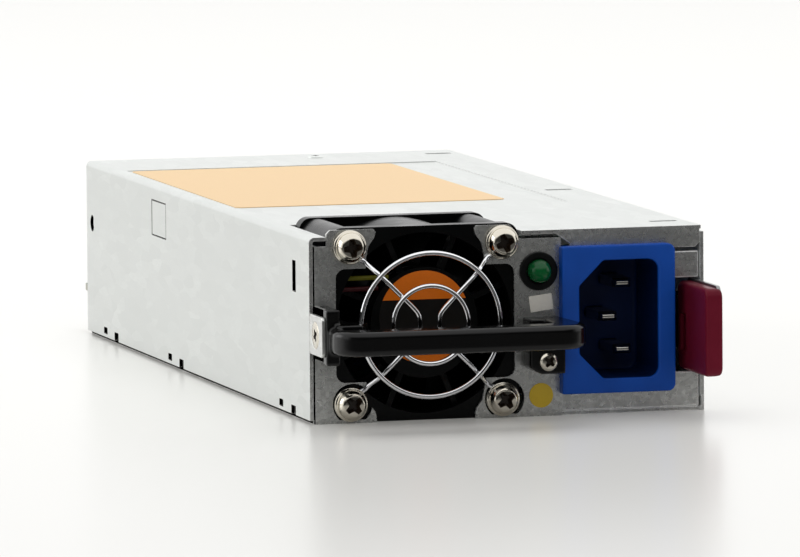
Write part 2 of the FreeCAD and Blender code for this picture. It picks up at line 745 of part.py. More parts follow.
def make_fan_rotor():
    """Rotor: a cup open to the front, with pitched blades round it."""
    hub = s.hub_radius
    cup = rod("rotor_cup", "y", hub, (CUP_FRONT, CUP_REAR), (FAN_X, FAN_Z))
    hollow = rod("rotor_hollow", "y", hub - 0.9, (CUP_FRONT - 1, CUP_REAR - 1.6), (FAN_X, FAN_Z))
    boss_hole = rod("rotor_shaft_hole", "y", s.shaft_radius + 0.02, (CUP_FRONT, CUP_REAR + 1), (FAN_X, FAN_Z))
    sweep = ring("rotor_sweep", "y", BORE - s.blade_gap, hub - 0.4, (CUP_FRONT + 0.4, CUP_REAR - 0.4),
                 (FAN_X, FAN_Z))
    blades = []
    for number in range(int(SIZES["blade_count"])):
        blade = doc.addObject("Part::Box", f"rotor_blade_{number}")
        bind(blade, "Length", BORE - hub + 1)
        bind(blade, "Width", as_size(24))
        bind(blade, "Height", as_size(1.1))
        tilt = Rotation(Vector(1, 0, 0), 38)
        blade.Placement = Placement(Vector(num(hub) - 1, 0, 0) - tilt.multVec(Vector(0, 12, 0.55)), tilt)
        middle = (CUP_FRONT + CUP_REAR) / 2
        spun = turned(f"rotor_blade_turned_{number}", blade, 360.0 * number / SIZES["blade_count"])
        bind(spun, "Placement.Base.y", middle)
        blades.append(spun)
    fins = common("rotor_fins", fuse("rotor_blades", *blades), sweep)
    keep(fuse("rotor_finished", cut("rotor_cup_open", cup, hollow, boss_hole), fins), "fan_rotor")


def make_fan_motor():
    """Magnet ring, shaft, two bearings and the wound stator."""
    axis = (FAN_X, FAN_Z)
    hub = s.hub_radius
    keep(ring("magnet", "y", hub - 0.95, hub - 2.2, (CUP_FRONT + 1, CUP_REAR - 3), axis), "fan_magnet_ring")
    keep(rod("shaft", "y", s.shaft_radius, (BASE_FRONT + 1.6, CUP_REAR), axis), "fan_shaft")
    outer = TUBE_RADIUS - 0.93
    inner = s.shaft_radius + s.running_gap
    front = ring("bearing_front", "y", outer, inner, (BASE_FRONT + 2, BASE_FRONT + 4.5), axis)
    rear = ring("bearing_rear", "y", outer, inner, (CUP_REAR - 6, CUP_REAR - 3.5), axis)
    keep(fuse("bearings", front, rear), "fan_bearings")
    core = ring("stator_core", "y", hub - 3.4, TUBE_RADIUS + 0.03, (CUP_FRONT + 2, CUP_REAR - 4), axis)
    slots = []
    for number in range(4):
        slot = box(f"stator_slot_{number}", (TUBE_RADIUS + 0.9, hub), (CUP_FRONT, CUP_REAR), (-0.7, 0.7))
        slots.append(turned(f"stator_slot_turned_{number}", slot, 90.0 * number + 45))
    keep(cut("stator", core, *slots), "fan_stator")
    label = (BASE_FRONT - s.label_thick, BASE_FRONT)
    keep(rod("hub_disc", "y", s.hub_label_radius, label, (FAN_X, FAN_Z + s.hub_label_lift)), "fan_hub_label")


LEAD_RADIUS = 0.5


def lead_path(z, start_x, drop_x):
    """The route of one fan lead: across the front of the struts, out through the notch, back and down to
    its plug."""
    line = num(INNER_LEFT) + num(WALL) + 1.4
    front = num(BASE_FRONT - FRONT) + 1.9
    plug = num(BOARD_FRONT - FRONT) + 5.0
    points = [spot(start_x, front, z), spot(line, front, z), spot(line, plug - 8, z),
              spot(drop_x, plug, z - 8),
              spot(drop_x, plug, BOARD_TOP + 5.6)]
    return rounded_path(points, (3.0, 9.0, 4.5))


def make_fan_leads():
    """Two thin leads from the motor base to their plug on the main board."""
    leads = []
    for z, drop in ((9.6, -0.2), (7.3, 1.9)):
        reach = math.sqrt(num(s.hub_radius) ** 2 - (z - LEAD_RADIUS) ** 2)
        start = num(FAN_X) - reach - 0.1
        leads.append(tube(lead_path(num(FAN_Z) + z, start, num(PLUG_X) + drop), LEAD_RADIUS))
    keep(feature("leads", Part.makeCompound(leads)), "fan_leads")


PLUG_X = INNER_LEFT + 5.2


def make_fan_plug():
    """Header on the main board that takes the fan leads."""
    plug = deep_of(BOARD_FRONT) + 5.0
    shell = box("plug_shell", (PLUG_X - 2.0, PLUG_X + 4.6), (deep(plug - 2.4), deep(plug + 2.4)),
                (BOARD_TOP, BOARD_TOP + 5.4))
    keep(shell, "fan_plug")


def deep_of(place):
    """The depth behind the front face of a Y place."""
    return place - FRONT


def guard_leg(side, level):
    """Corner points of half of one guard wire: loop start, ramp and apex."""
    half = num(s.fan_pitch) / 2
    wire = num(s.guard_wire)
    loop = num(s.screw_shank) / 2 + wire / 2 + 0.35
    screw = Vector(side * half, 0, level * half)
    apex = Vector(side * 2.1, 0, 0)
    along = (apex - screw).normalize()
    across = Vector(-along.z * side * level, 0, along.x * side * level)
    return screw, along, across, loop, apex


def guard_wire(side):
    """One bent wire of the guard: a loop round the upper screw, a rounded V, a loop round the lower screw."""
    low = -num(s.guard_wire) / 2 - 0.05
    high = low - num(s.guard_step)
    halves = []
    for level in (1, -1):
        screw, along, across, loop, apex = guard_leg(side, level)
        begin = screw + across * loop
        halves.append([
            begin + Vector(0, low, 0),
            begin + along * 3.6 + Vector(0, low, 0),
            begin + along * 7.4 + Vector(0, high, 0),
            apex + Vector(0, high, 0),
        ])
    upper, lower = halves
    points = upper[:3] + [upper[3]] + list(reversed(lower[:3]))
    edges = rounded_path(points, (3.0, 3.0, 3.2, 3.0, 3.0))
    for level, where in ((1, 0), (-1, -1)):
        screw, along, across, loop, _ = guard_leg(side, level)
        centre = screw + Vector(0, low, 0)
        turn = [across * loop, (across * math.cos(2.2) - along * math.sin(2.2)) * loop,
                (across * math.cos(4.4) - along * math.sin(4.4)) * loop]
        arc = Part.Arc(centre + turn[2], centre + turn[1], centre + turn[0])
        if where == 0:
            edges.insert(0, arc.toShape())
        else:
            back = Part.Arc(centre + turn[0], centre + turn[1], centre + turn[2])
            edges.append(back.toShape())
    return tube(edges, num(s.guard_wire) / 2), high


def make_fan_guard():
    """Bright wire guard: two rounded V wires looped round the screws, with two rings welded on their
    front."""
    left, high = guard_wire(-1)
    right, _ = guard_wire(1)
    wire = num(s.guard_wire)
    plane = high - wire + 0.12
    solids = [left, right]
    for size in (s.guard_ring, s.guard_inner_ring):
        solids.append(Part.makeTorus(num(size) / 2, wire / 2, Vector(0, plane, 0), Vector(0, 1, 0)))
    shape = solids[0].multiFuse(solids[1:])
    keep(feature("guard", shape, (FAN_X, FRONT, FAN_Z)), "fan_guard")


def cross_recess(name, axis, tip, depth, size, place):
    """The two crossed slots of a screw drive, as tools for a cut."""
    thin = size * 0.22
    blades = []
    for number, (wide, tall) in enumerate(((size, thin), (thin, size))):
        ends = (tip, tip + depth)
        first = (place[0] - wide / 2, place[0] + wide / 2)
        second = (place[1] - tall / 2, place[1] + tall / 2)
        sides = {"y": (first, ends, second), "x": (ends, first, second), "z": (first, second, ends)}
        blades.append(box(f"{name}_cross_{number}", *sides[axis]))
    return blades


def make_fan_screws():
    """Four washer head screws that hold the guard to the fan."""
    head_low = FRONT - s.guard_wire - 0.1
    screws = []
    for number, (x, z) in enumerate(screw_places()):
        name = f"fan_screw_{number}"
        washer = rod(f"{name}_washer", "y", s.screw_head / 2, (head_low - 0.7, head_low), (x, z))
        dome = rod(f"{name}_dome", "y", s.screw_head / 2 - 0.55, (head_low - s.screw_rise, head_low - 0.6),
                   (x, z))
        shank = rod(f"{name}_shank", "y", s.screw_shank / 2, (head_low - 0.6, head_low + s.screw_length),
                    (x, z))
        joined = fuse(f"{name}_joined", washer, dome, shank)
        recess = cross_recess(name, "y", head_low - s.screw_rise - 0.1, 1.7, as_size(4.2), (x, z))
        screws.append(cut(name, joined, *recess))
    keep(fuse("fan_screw_set", *screws), "fan_screws")


# ---------------------------------------------------------------- lamp
def make_lamp():
    """Status lamp: a black holder in the panel and a clear green dome through it."""
    place = (LAMP_X, s.lamp_rise)
    rim = rod("bezel_rim", "y", s.bezel_size / 2, (FRONT - 0.7, FRONT), place)
    sleeve = rod("bezel_sleeve", "y", s.bezel_size / 2 - 0.6, (FRONT - 0.1, deep(5)), place)
    bore = rod("bezel_bore", "y", s.lamp_size / 2 + 0.05, (FRONT - 2, deep(6)), place)
    keep(cut("bezel", fuse("bezel_joined", rim, sleeve), bore), "lamp_holder")
    stem = rod("lamp_stem", "y", s.lamp_size / 2, (FRONT - 1.0, deep(5.5)), place)
    dome = doc.addObject("Part::Sphere", "lamp_dome")
    bind(dome, "Radius", s.lamp_size / 2)
    for letter, value in zip("xyz", (LAMP_X, FRONT - 1.0, s.lamp_rise)):
        bind(dome, f"Placement.Base.{letter}", value)
    collar = rod("lamp_collar", "y", s.lamp_size / 2 + 0.4, (deep(5.0), deep(6.0)), place)
    keep(fuse("lamp", stem, dome, collar), "status_lamp")


# ---------------------------------------------------------------- mains inlet
def make_inlet():
    """Mains inlet: rim and body with a keyed socket, three flat pins, and the leads to the main board."""
    rim = rounded_block("inlet_rim", (INLET_LEFT, INLET_RIGHT), (FRONT - GAP - s.inlet_rim, FRONT - GAP),
                        (INLET_Z - s.inlet_tall / 2, INLET_Z + s.inlet_tall / 2), s.inlet_rim_round,
                        lambda middle, run: abs(run.y) > 0.99 and middle.x > num(INLET_X))
    half_wide = s.inlet_body_width / 2
    half_tall = s.inlet_body_tall / 2
    body = box("inlet_block", (INLET_X - half_wide, INLET_X + half_wide),
               (FRONT - GAP - 0.5, deep(s.inlet_body_length)), (INLET_Z - half_tall, INLET_Z + half_tall))
    socket = new_body("inlet_socket")
    sketch = draw_on(socket, "XZ_Plane", -(FRONT - s.inlet_rim + s.socket_deep))
    left = INLET_X - s.socket_width / 2
    right = INLET_X + s.socket_width / 2
    low = INLET_Z - s.socket_tall / 2
    high = INLET_Z + s.socket_tall / 2
    corner = s.socket_chamfer
    draw_outline(sketch, [(left + corner, low), (right, low), (right, high), (left + corner, high),
                          (left, high - corner), (left, low + corner)])
    hollow = pad(socket, sketch, s.socket_deep + 2)
    soften(socket, hollow, 2.2, lambda middle, run: abs(run.y) > 0.99 and middle.x > num(INLET_X))
    pins = []
    slots = []
    for name, x, z in pin_places():
        for group, slack in ((pins, 0), (slots, 0.05)):
            across = (x - s.pin_wide / 2 - slack, x + s.pin_wide / 2 + slack)
            tall = (z - s.pin_thick / 2 - slack, z + s.pin_thick / 2 + slack)
            bar = box(f"inlet_pin_{name}_{slack}", across, (deep(3 + s.pin_taper), deep(PIN_REAR)), tall)
            group.append(fuse(f"inlet_pin_whole_{name}_{slack}", bar, pin_tip(name, slack, across, tall)))
    keep(cut("inlet_finished", fuse("inlet_joined", rim, body), socket, *slots), "inlet_body")
    keep(fuse("inlet_pin_set", *pins), "inlet_pins")


PIN_REAR = s.inlet_body_length + 6.0


def pin_tip(name, slack, across, tall):
    """The tapered front of one pin, which grows to the pin's full section over its length."""
    tip = doc.addObject("Part::Wedge", f"inlet_tip_{name}_{slack}")
    narrow = s.pin_thick * 0.35
    values = {
        "Xmin": across[0] + narrow, "Xmax": across[1] - narrow, "Zmin": tall[0] + narrow, "Zmax": tall[1] - narrow,
        "Ymin": deep(3), "Ymax": deep(3 + s.pin_taper),
        "X2min": across[0], "X2max": across[1], "Z2min": tall[0], "Z2max": tall[1],
    }
    for side, value in values.items():
        setattr(tip, side, num(value))
        bind(tip, side, value)
    return tip


def pin_places():
    """The three pins, as name, X and Z; the middle one stands off towards the keyed side."""
    base = INLET_X + 2.5
    return [("live", base, INLET_Z + s.pin_pitch / 2), ("earth", base - s.pin_offset, INLET_Z),
            ("neutral", base, INLET_Z - s.pin_pitch / 2)]


def make_inlet_leads():
    """Three leads that leave the pins to the rear and bend down to the main board."""
    leads = []
    start = num(PIN_REAR) + 0.05
    for number, (name, x, z) in enumerate(pin_places()):
        run = 10.5 + 5.0 * number
        far = start + run
        points = [spot(x, start, z), spot(x, far, z), spot(x, far, BOARD_TOP + 0.05)]
        radius = min(run, num(z - BOARD_TOP)) * 0.45 / math.tan(math.radians(45))
        leads.append(tube(rounded_path(points, (radius,)), 1.0))
    keep(feature("inlet_leads_set", Part.makeCompound(leads)), "inlet_leads")


# ---------------------------------------------------------------- handle
def make_handle():
    """Plastic carry handle across the fan: grip, two arms, a tall left foot, a ledge and a screwed right
    foot."""
    body = new_body("grip_bow")
    sketch = draw_on(body, "XY_Plane", s.grip_rise)
    inner_left = LEFT + 3.7
    foot_left = PLATE_LEFT + WALL + 0.05
    arm_right = PANEL_RIGHT - 0.2
    arm_left = arm_right - s.arm_wide
    back = deep(-0.3)
    grip_back = deep(-s.grip_reach + s.grip_thick)
    grip_front = deep(-s.grip_reach)
    strap_front = deep(-s.strap_reach - 0.2)
    draw_outline(sketch, [
        (foot_left, back), (LEFT + 0.75, grip_front),
        (arm_right + 1.6, grip_front), (arm_right, back), (arm_left, back), (arm_left, grip_back),
        (inner_left, grip_back), (inner_left, back)])
    bow = pad(body, sketch, s.grip_tall)
    front_y = num(grip_front)
    back_y = num(grip_back)
    bow = soften(body, bow, s.grip_corner,
                 lambda middle, run: abs(run.z) > 0.99 and abs(middle.y - front_y) < 0.01)
    bow = soften(body, bow, 2.5, lambda middle, run: abs(run.z) > 0.99 and abs(middle.y - back_y) < 0.01)
    soften(body, bow, s.grip_round, lambda middle, run: abs(run.z) < 0.01 and middle.y < back_y - 3.2)
    foot = box("grip_left_foot", (foot_left, inner_left), (deep(-11), back), (13.3, 25.0))
    front_foot = box("grip_left_nose", (INNER_LEFT, inner_left), (deep(-11), deep(-7.95)), (13.3, 25.0))
    ledge = new_body("grip_ledge")
    ledge_sketch = draw_on(ledge, "XY_Plane", s.grip_rise + 0.5)
    draw_outline(ledge_sketch, [(inner_left - 1, deep(-5)), (inner_left + 7.6, deep(-5)),
                                (inner_left + 4.7, deep(-12)), (inner_left - 1, deep(-12))])
    pad(ledge, ledge_sketch, s.grip_tall + 0.2)
    right_foot = new_body("grip_right_foot")
    foot_sketch = draw_on(right_foot, "XZ_Plane", -back)
    foot_low = FOOT_Z - 2.6
    foot_side = PANEL_RIGHT - 8.6
    draw_outline(foot_sketch, [(foot_side + 2.2, foot_low), (PANEL_RIGHT - 1.0, foot_low),
                               (PANEL_RIGHT - 1.0, GRIP_TOP), (foot_side, GRIP_TOP),
                               (foot_side, foot_low + 1.2)])
    pad(right_foot, foot_sketch, 6.6)
    joined = fuse("handle_joined", body, foot, front_foot, ledge, right_foot)
    tools = [
        box("grip_seam", (inner_left, arm_left), (grip_front - 1, grip_front + 0.12),
            (s.grip_rise + s.grip_tall / 2 - 0.1, s.grip_rise + s.grip_tall / 2 + 0.1)),
        box("grip_tab_clear", (LEFT - 1, foot_left), (deep(-7.95), deep(1)), (0, TOP)),
        box("grip_strap_clear", (LEFT - 1, INNER_LEFT), (strap_front, deep(1)), (0, TOP)),
        box("grip_inlet_clear", (INLET_LEFT - 0.3, arm_right + 1), (deep(-3.3), deep(1)), (0, TOP)),
        rod("grip_side_hole", "x", 1.3, (LEFT - 1, SIDE_SCREW_END + 0.3), (deep(-4.6), 19.2)),
        rod("grip_foot_hole", "y", 1.3, (deep(-8), deep(2)), (FOOT_X, FOOT_Z)),
    ]
    keep(cut("handle_finished", joined, *tools), "handle")


SIDE_SCREW_END = LEFT + 7.0


def make_handle_fixings():
    """Steel strap outside the left foot, its countersunk screw, and the small screw in the right foot."""
    strap = rounded_block("strap_blank", (LEFT, INNER_LEFT), (deep(-s.strap_reach), deep(-0.2)),
                          (19.2 - s.strap_tall / 2, 19.2 + s.strap_tall / 2), 0.9,
                          lambda middle, run: abs(run.x) > 0.99)
    place = (deep(-4.6), 19.2)
    sink = cone("strap_sink", "x", (as_size(3.0), as_size(2.1)), (LEFT - 0.001, INNER_LEFT + 0.001), place)
    keep(cut("strap_finished", strap, sink), "handle_strap")
    head = cone("side_screw_head", "x", (as_size(2.9), as_size(2.0)), (LEFT, INNER_LEFT - 0.02), place)
    shank = rod("side_screw_shank", "x", 1.25, (LEFT + 0.5, SIDE_SCREW_END), place)
    recess = cross_recess("side_screw", "x", LEFT - 0.1, 1.0, as_size(2.6), place)
    keep(cut("side_screw", fuse("side_screw_joined", head, shank), *recess), "handle_side_screw")
    foot_front = deep(-6.9)
    foot_head = rod("foot_screw_head", "y", 2.0, (foot_front - 1.3, foot_front), (FOOT_X, FOOT_Z))
    foot_shank = rod("foot_screw_shank", "y", 1.25, (foot_front - 0.5, deep(3)), (FOOT_X, FOOT_Z))
    foot_recess = cross_recess("foot_screw", "y", foot_front - 1.4, 1.0, as_size(2.4), (FOOT_X, FOOT_Z))
    keep(cut("foot_screw", fuse("foot_screw_joined", foot_head, foot_shank), *foot_recess),
         "handle_foot_screw")


# ---------------------------------------------------------------- latch
def make_latch_arm():
    """Spring steel arm along the right side, with a rolled eye at the rear and a catch through the side
    wall."""
    eye_at = (PIVOT_X, deep(s.pivot_depth))
    arm = box("arm_strip", (ARM_LEFT, ARM_RIGHT), (deep(3), deep(s.pivot_depth - 3.4)), (12, 24))
    root = box("arm_root", (ARM_LEFT, ARM_RIGHT), (deep(s.pivot_depth - 4), deep(s.pivot_depth)),
               (EYE_LOW, 24))
    head = rounded_block("arm_head", (ARM_LEFT, ARM_RIGHT), (deep(-s.tab_reach + 1.5), deep(6)),
                         (s.tab_rise + 1, TAB_TOP + 0.4), 1.5, lambda middle, run: abs(run.x) > 0.99)
    catch = new_body("arm_catch")
    sketch = draw_on(catch, "XY_Plane", 14)
    reach = RIGHT + s.catch_reach
    front = deep(s.catch_depth)
    back = deep(s.catch_depth + s.catch_length)
    draw_outline(sketch,
                 [(ARM_RIGHT - 0.1, front), (reach, front), (reach, front + 1.6), (ARM_RIGHT - 0.1, back)])
    pad(catch, sketch, 8)
    eye = ring("arm_eye", "z", EYE_RADIUS, s.pivot_radius + s.running_gap, (EYE_LOW, 24), eye_at)
    joined = fuse("arm_joined", arm, root, head, catch)
    clear = rod("arm_eye_clear", "z", EYE_RADIUS - 0.4, (11, 25), eye_at)
    keep(fuse("arm_finished", cut("arm_cleared", joined, clear), eye), "latch_arm")


def make_latch_tab():
    """Coloured thumb tab moulded round the front of the arm."""
    block = new_body("tab_block")
    sketch = draw_on(block, "YZ_Plane", TAB_LEFT)
    front = deep(-s.tab_reach)
    draw_outline(sketch, [(front, s.tab_rise), (deep(4), s.tab_rise), (deep(4), TAB_TOP), (front, TAB_TOP)])
    shape = pad(block, sketch, s.tab_thick)
    shape = soften(block, shape, 2.0, lambda middle, run: abs(run.x) > 0.99)
    soften(block, shape, s.tab_round / 2, lambda middle, run: abs(run.x) < 0.5 and middle.y < num(deep(3.9)))
    slot = box("tab_slot", (ARM_LEFT - 0.05, TAB_RIGHT + 1), (deep(-s.tab_reach + 1.4), deep(5)),
               (s.tab_rise - 1, TAB_TOP + 1))
    mark = box("tab_mark", (TAB_LEFT - 1, TAB_LEFT + 0.7), (deep(-2.1), deep(1.5)), (12.6, 20.6))
    keep(cut("tab_finished", block, slot, mark), "latch_tab")


def make_latch_pivot():
    """Pin through the tray lugs and the arm's eye, and the coil spring round it that presses the arm
    outward."""
    place = (PIVOT_X, deep(s.pivot_depth))
    radius = s.pivot_radius
    shank = rod("pin_shank", "z", radius, (9.0, 27.2), place)
    heads = [rod(f"pin_head_{name}", "z", radius + 0.9, ends, place)
             for name, ends in (("low", (8.8, 9.75)), ("high", (26.45, 27.4)))]
    keep(fuse("latch_pin_joined", shank, *heads), "latch_pin")


SPRING_WIRE = 0.3
SPRING_RADIUS = 2.3
SPRING_LOW = 11.8
SPRING_PITCH = 0.7
SPRING_TURNS = 2.5


def make_latch_spring():
    """Coil spring round the pin, with a leg that runs forward beside the arm and presses it outward."""
    helix = Part.makeHelix(SPRING_PITCH, SPRING_PITCH * SPRING_TURNS, SPRING_RADIUS)
    end = Vector(-SPRING_RADIUS, 0, SPRING_PITCH * SPRING_TURNS)
    tip = Vector(num(ARM_LEFT - PIVOT_X) - 2 * SPRING_WIRE, -8, end.z)
    coil = Part.Wire(helix.Edges)
    section = Part.Wire([Part.makeCircle(SPRING_WIRE, Vector(SPRING_RADIUS, 0, 0), Vector(0, 1, 0))])
    turns = coil.makePipeShell([section], True, True)
    leg = Part.makeCylinder(SPRING_WIRE, (tip - end).Length, end, tip - end)
    place = (PIVOT_X, deep(s.pivot_depth), SPRING_LOW)
    keep(feature("spring", turns.fuse(leg), place), "latch_spring")


# ---------------------------------------------------------------- labels
def make_labels():
    """Blank top label, a small white sticker and a yellow one."""
    rear = REAR - 29.0
    thick = s.label_thick
    top = TOP - s.recess_depth
    label = rounded_block("label_sheet", (LEFT + s.recess_margin + 0.7, LEFT + s.recess_margin + 60.9),
                          (rear - 94.0, rear), (top, top + thick), 1.5, along_axis("z"))
    keep(label, "top_label")
    small = box("white_sheet", (-2.5, 2.5), (-thick, 0), (-1.7, 1.7))
    tilt = doc.addObject("Part::Compound", "white_tilt")
    tilt.Links = [small]
    tilt.Placement = Placement(Vector(), Rotation(Vector(0, 1, 0), -7))
    for letter, value in zip("xyz", (PANEL_RIGHT - 4.4, FRONT, as_size(23.9))):
        bind(tilt, f"Placement.Base.{letter}", value)
    keep(tilt, "white_sticker")
    keep(rod("yellow_disc", "y", 2.6, (FRONT - thick, FRONT), (PANEL_RIGHT - 4.5, 4.4)), "yellow_sticker")


# ---------------------------------------------------------------- main board and what stands on it

def post_places():
    """The six fixing points of the main board, as X and Y."""
    rows = (BOARD_FRONT + 4, BOARD_FRONT + 34.5, BOARD_REAR - 4)
    return [(x, y) for y in rows for x in (BOARD_LEFT + 12, BOARD_RIGHT - 4)]


def make_board():
    """Main board on six posts, with its screws and the insulating sheet under it."""
    board = box("board_sheet", (BOARD_LEFT, BOARD_RIGHT), (BOARD_FRONT, BOARD_REAR), (BOARD_LOW, BOARD_TOP))
    sheet = box("insulation", (BOARD_LEFT, BOARD_RIGHT), (BOARD_FRONT, BOARD_REAR), (WALL, WALL + 0.4))
    holes = []
    posts = []
    screws = []
    big_holes = []
    for number, (x, y) in enumerate(post_places()):
        holes.append(rod(f"board_hole_{number}", "z", 1.6, (BOARD_LOW - 1, BOARD_TOP + 1), (x, y)))
        big_holes.append(rod(f"sheet_hole_{number}", "z", 3.2, (0, BOARD_LOW), (x, y)))
        bore = rod(f"post_bore_{number}", "z", 1.25, (WALL + 1, BOARD_LOW + 1), (x, y))
        bar = rod(f"post_bar_{number}", "z", 2.8, (WALL, BOARD_LOW), (x, y))
        posts.append(cut(f"post_{number}", bar, bore))
        head = rod(f"board_screw_head_{number}", "z", 2.5, (BOARD_TOP, BOARD_TOP + 1.8), (x, y))
        shank = rod(f"board_screw_shank_{number}", "z", 1.2, (BOARD_LOW - 3, BOARD_TOP + 0.5), (x, y))
        screws.append(fuse(f"board_screw_{number}", head, shank))
    keep(cut("board_finished", board, *holes), "main_board")
    keep(cut("insulation_finished", sheet, *big_holes), "insulation_sheet")
    keep(fuse("post_set", *posts), "board_posts")
    keep(fuse("board_screw_set", *screws), "board_screws")


def on_board(name, across, along, tall, label):
    """A square component standing on the main board."""
    keep(box(name, across, along, (BOARD_TOP, BOARD_TOP + tall)), label)


def make_filter_section():
    """Choke, capacitors, fuse and relay between the inlet leads and the rectifier."""
    start = BOARD_FRONT + 10
    radius = as_size(8.5)
    centre = (BOARD_RIGHT - 31, start + 12)
    keep(ring("choke_ring", "z", radius, 4.0, (BOARD_TOP, BOARD_TOP + 12), centre), "filter_choke")
    blocks = [box(f"filter_cap_{number}", (BOARD_LEFT + 16.5 + 9 * number, BOARD_LEFT + 24 + 9 * number),
                  (start + 1, start + 23), (BOARD_TOP, BOARD_TOP + 15)) for number in range(2)]
    keep(fuse("filter_cap_set", *blocks), "filter_capacitors")
    fuse_at = (BOARD_LEFT + 12, BOARD_TOP + 4.4)
    keep(rod("fuse_tube", "y", 2.6, (start, start + 20), fuse_at), "line_fuse")
    clips = [box(f"fuse_clip_{number}", (BOARD_LEFT + 9, BOARD_LEFT + 15),
                 (start + 2 + 13 * number, start + 5 + 13 * number),
                 (BOARD_TOP, BOARD_TOP + 5)) for number in range(2)]
    groove = rod("fuse_clip_groove", "y", 2.65, (start - 1, start + 22), fuse_at)
    keep(cut("fuse_clip_set", fuse("fuse_clips_joined", *clips), groove), "fuse_clips")
    on_board("relay_block", (BOARD_LEFT + 1, BOARD_LEFT + 8), (start + 8, start + 24), 13, "inrush_relay")


def make_bulk_section():
    """Bulk capacitors lying side by side, and the boost choke."""
    start = BULK_FRONT
    half = s.capacitor_size / 2
    cans = []
    for number in range(2):
        place = (BOARD_LEFT + half + 0.5 + (s.capacitor_size + 1) * number, BOARD_TOP + half + 0.3)
        cans.append(rod(f"bulk_can_{number}", "y", half, (start, start + s.capacitor_length), place))
    keep(fuse("bulk_cans", *cans), "bulk_capacitors")
    cradle = box("bulk_cradle", (BOARD_LEFT + 1, BOARD_LEFT + 2 * s.capacitor_size), (start + 4, start + 8),
                 (BOARD_TOP, BOARD_TOP + 4))
    hollows = [rod(f"bulk_hollow_{number}", "y", half + 0.05, (start, start + s.capacitor_length),
                   (BOARD_LEFT + half + 0.5 + (s.capacitor_size + 1) * number, BOARD_TOP + half + 0.3))
               for number in range(2)]
    keep(cut("bulk_saddle", cradle, *hollows), "capacitor_saddle")
    room = BOARD_RIGHT - BOARD_LEFT - 2 * s.capacitor_size - 1.5
    centre = (BOARD_RIGHT - room / 2, start + 22)
    keep(ring("boost_ring", "z", room / 2 - 0.5, 5.0, (BOARD_TOP, BOARD_TOP + 14), centre), "boost_choke")


def make_switch_section():
    """Heat sinks with their power devices, and the main transformer."""
    start = SWITCH_FRONT
    plate_left = BOARD_LEFT + 5
    web = box("sink_web", (plate_left, plate_left + 3), (start, start + SWITCH_LENGTH),
              (BOARD_TOP, BOARD_TOP + 26))
    fin_pitch = SWITCH_LENGTH / 7.3
    fins = [box(f"sink_fin_{number}", (BOARD_LEFT + 0.5, plate_left + 0.1),
                (start + fin_pitch * number, start + fin_pitch * number + 1.2),
                (BOARD_TOP + 1, BOARD_TOP + 26)) for number in range(8)]
    keep(fuse("sink_joined", web, *fins), "primary_heatsink")
    pitch = SWITCH_LENGTH / 3
    devices = [box(f"device_{number}", (plate_left + 3, plate_left + 7.4),
                   (start + pitch * number + 1, start + pitch * (number + 1) - 1),
                   (BOARD_TOP + 3, BOARD_TOP + 19))
               for number in range(3)]
    legs = [box(f"device_leg_{number}", (plate_left + 4.8, plate_left + 5.4),
                (start + pitch * number + 4.5, start + pitch * (number + 1) - 4.5),
                (BOARD_TOP, BOARD_TOP + 3.1))
            for number in range(3)]
    keep(fuse("device_set", *devices, *legs), "power_transistors")
    on_board("bridge_block", (BOARD_LEFT + 16, BOARD_LEFT + 20), (start + 2, start + SWITCH_LENGTH - 12), 17,
             "bridge_rectifier")
    core_left = BOARD_LEFT + 26
    length = SWITCH_LENGTH - 4
    yoke = box("core_block", (core_left, core_left + 34), (start, start + length),
               (BOARD_TOP + 2, BOARD_TOP + s.core_tall))
    window = box("core_window", (core_left + 7, core_left + 27), (start - 1, start + length + 1),
                 (BOARD_TOP + 7, BOARD_TOP + s.core_tall - 5))
    limb = box("core_limb", (core_left + 13, core_left + 21), (start, start + length),
               (BOARD_TOP + 6, BOARD_TOP + s.core_tall - 4))
    keep(fuse("core_joined", cut("core_open", yoke, window), limb), "transformer_core")
    coil = box("coil_block", (core_left + 7.3, core_left + 26.7), (start - 2.5, start + length + 2.5),
               (BOARD_TOP + 7.3, BOARD_TOP + s.core_tall - 5.3))
    coil_hole = box("coil_hole", (core_left + 12.7, core_left + 21.3), (start - 4, start + length + 4),
                    (BOARD_TOP + 5, BOARD_TOP + s.core_tall - 3))
    ends = [box(f"coil_base_{number}", (core_left + 5, core_left + 29), (y, y + 2),
                (BOARD_TOP, BOARD_TOP + 7.4))
            for number, y in enumerate((start - 2.4, start + length + 0.4))]
    keep(fuse("coil_joined", cut("coil_open", coil, coil_hole), *ends), "transformer_winding")


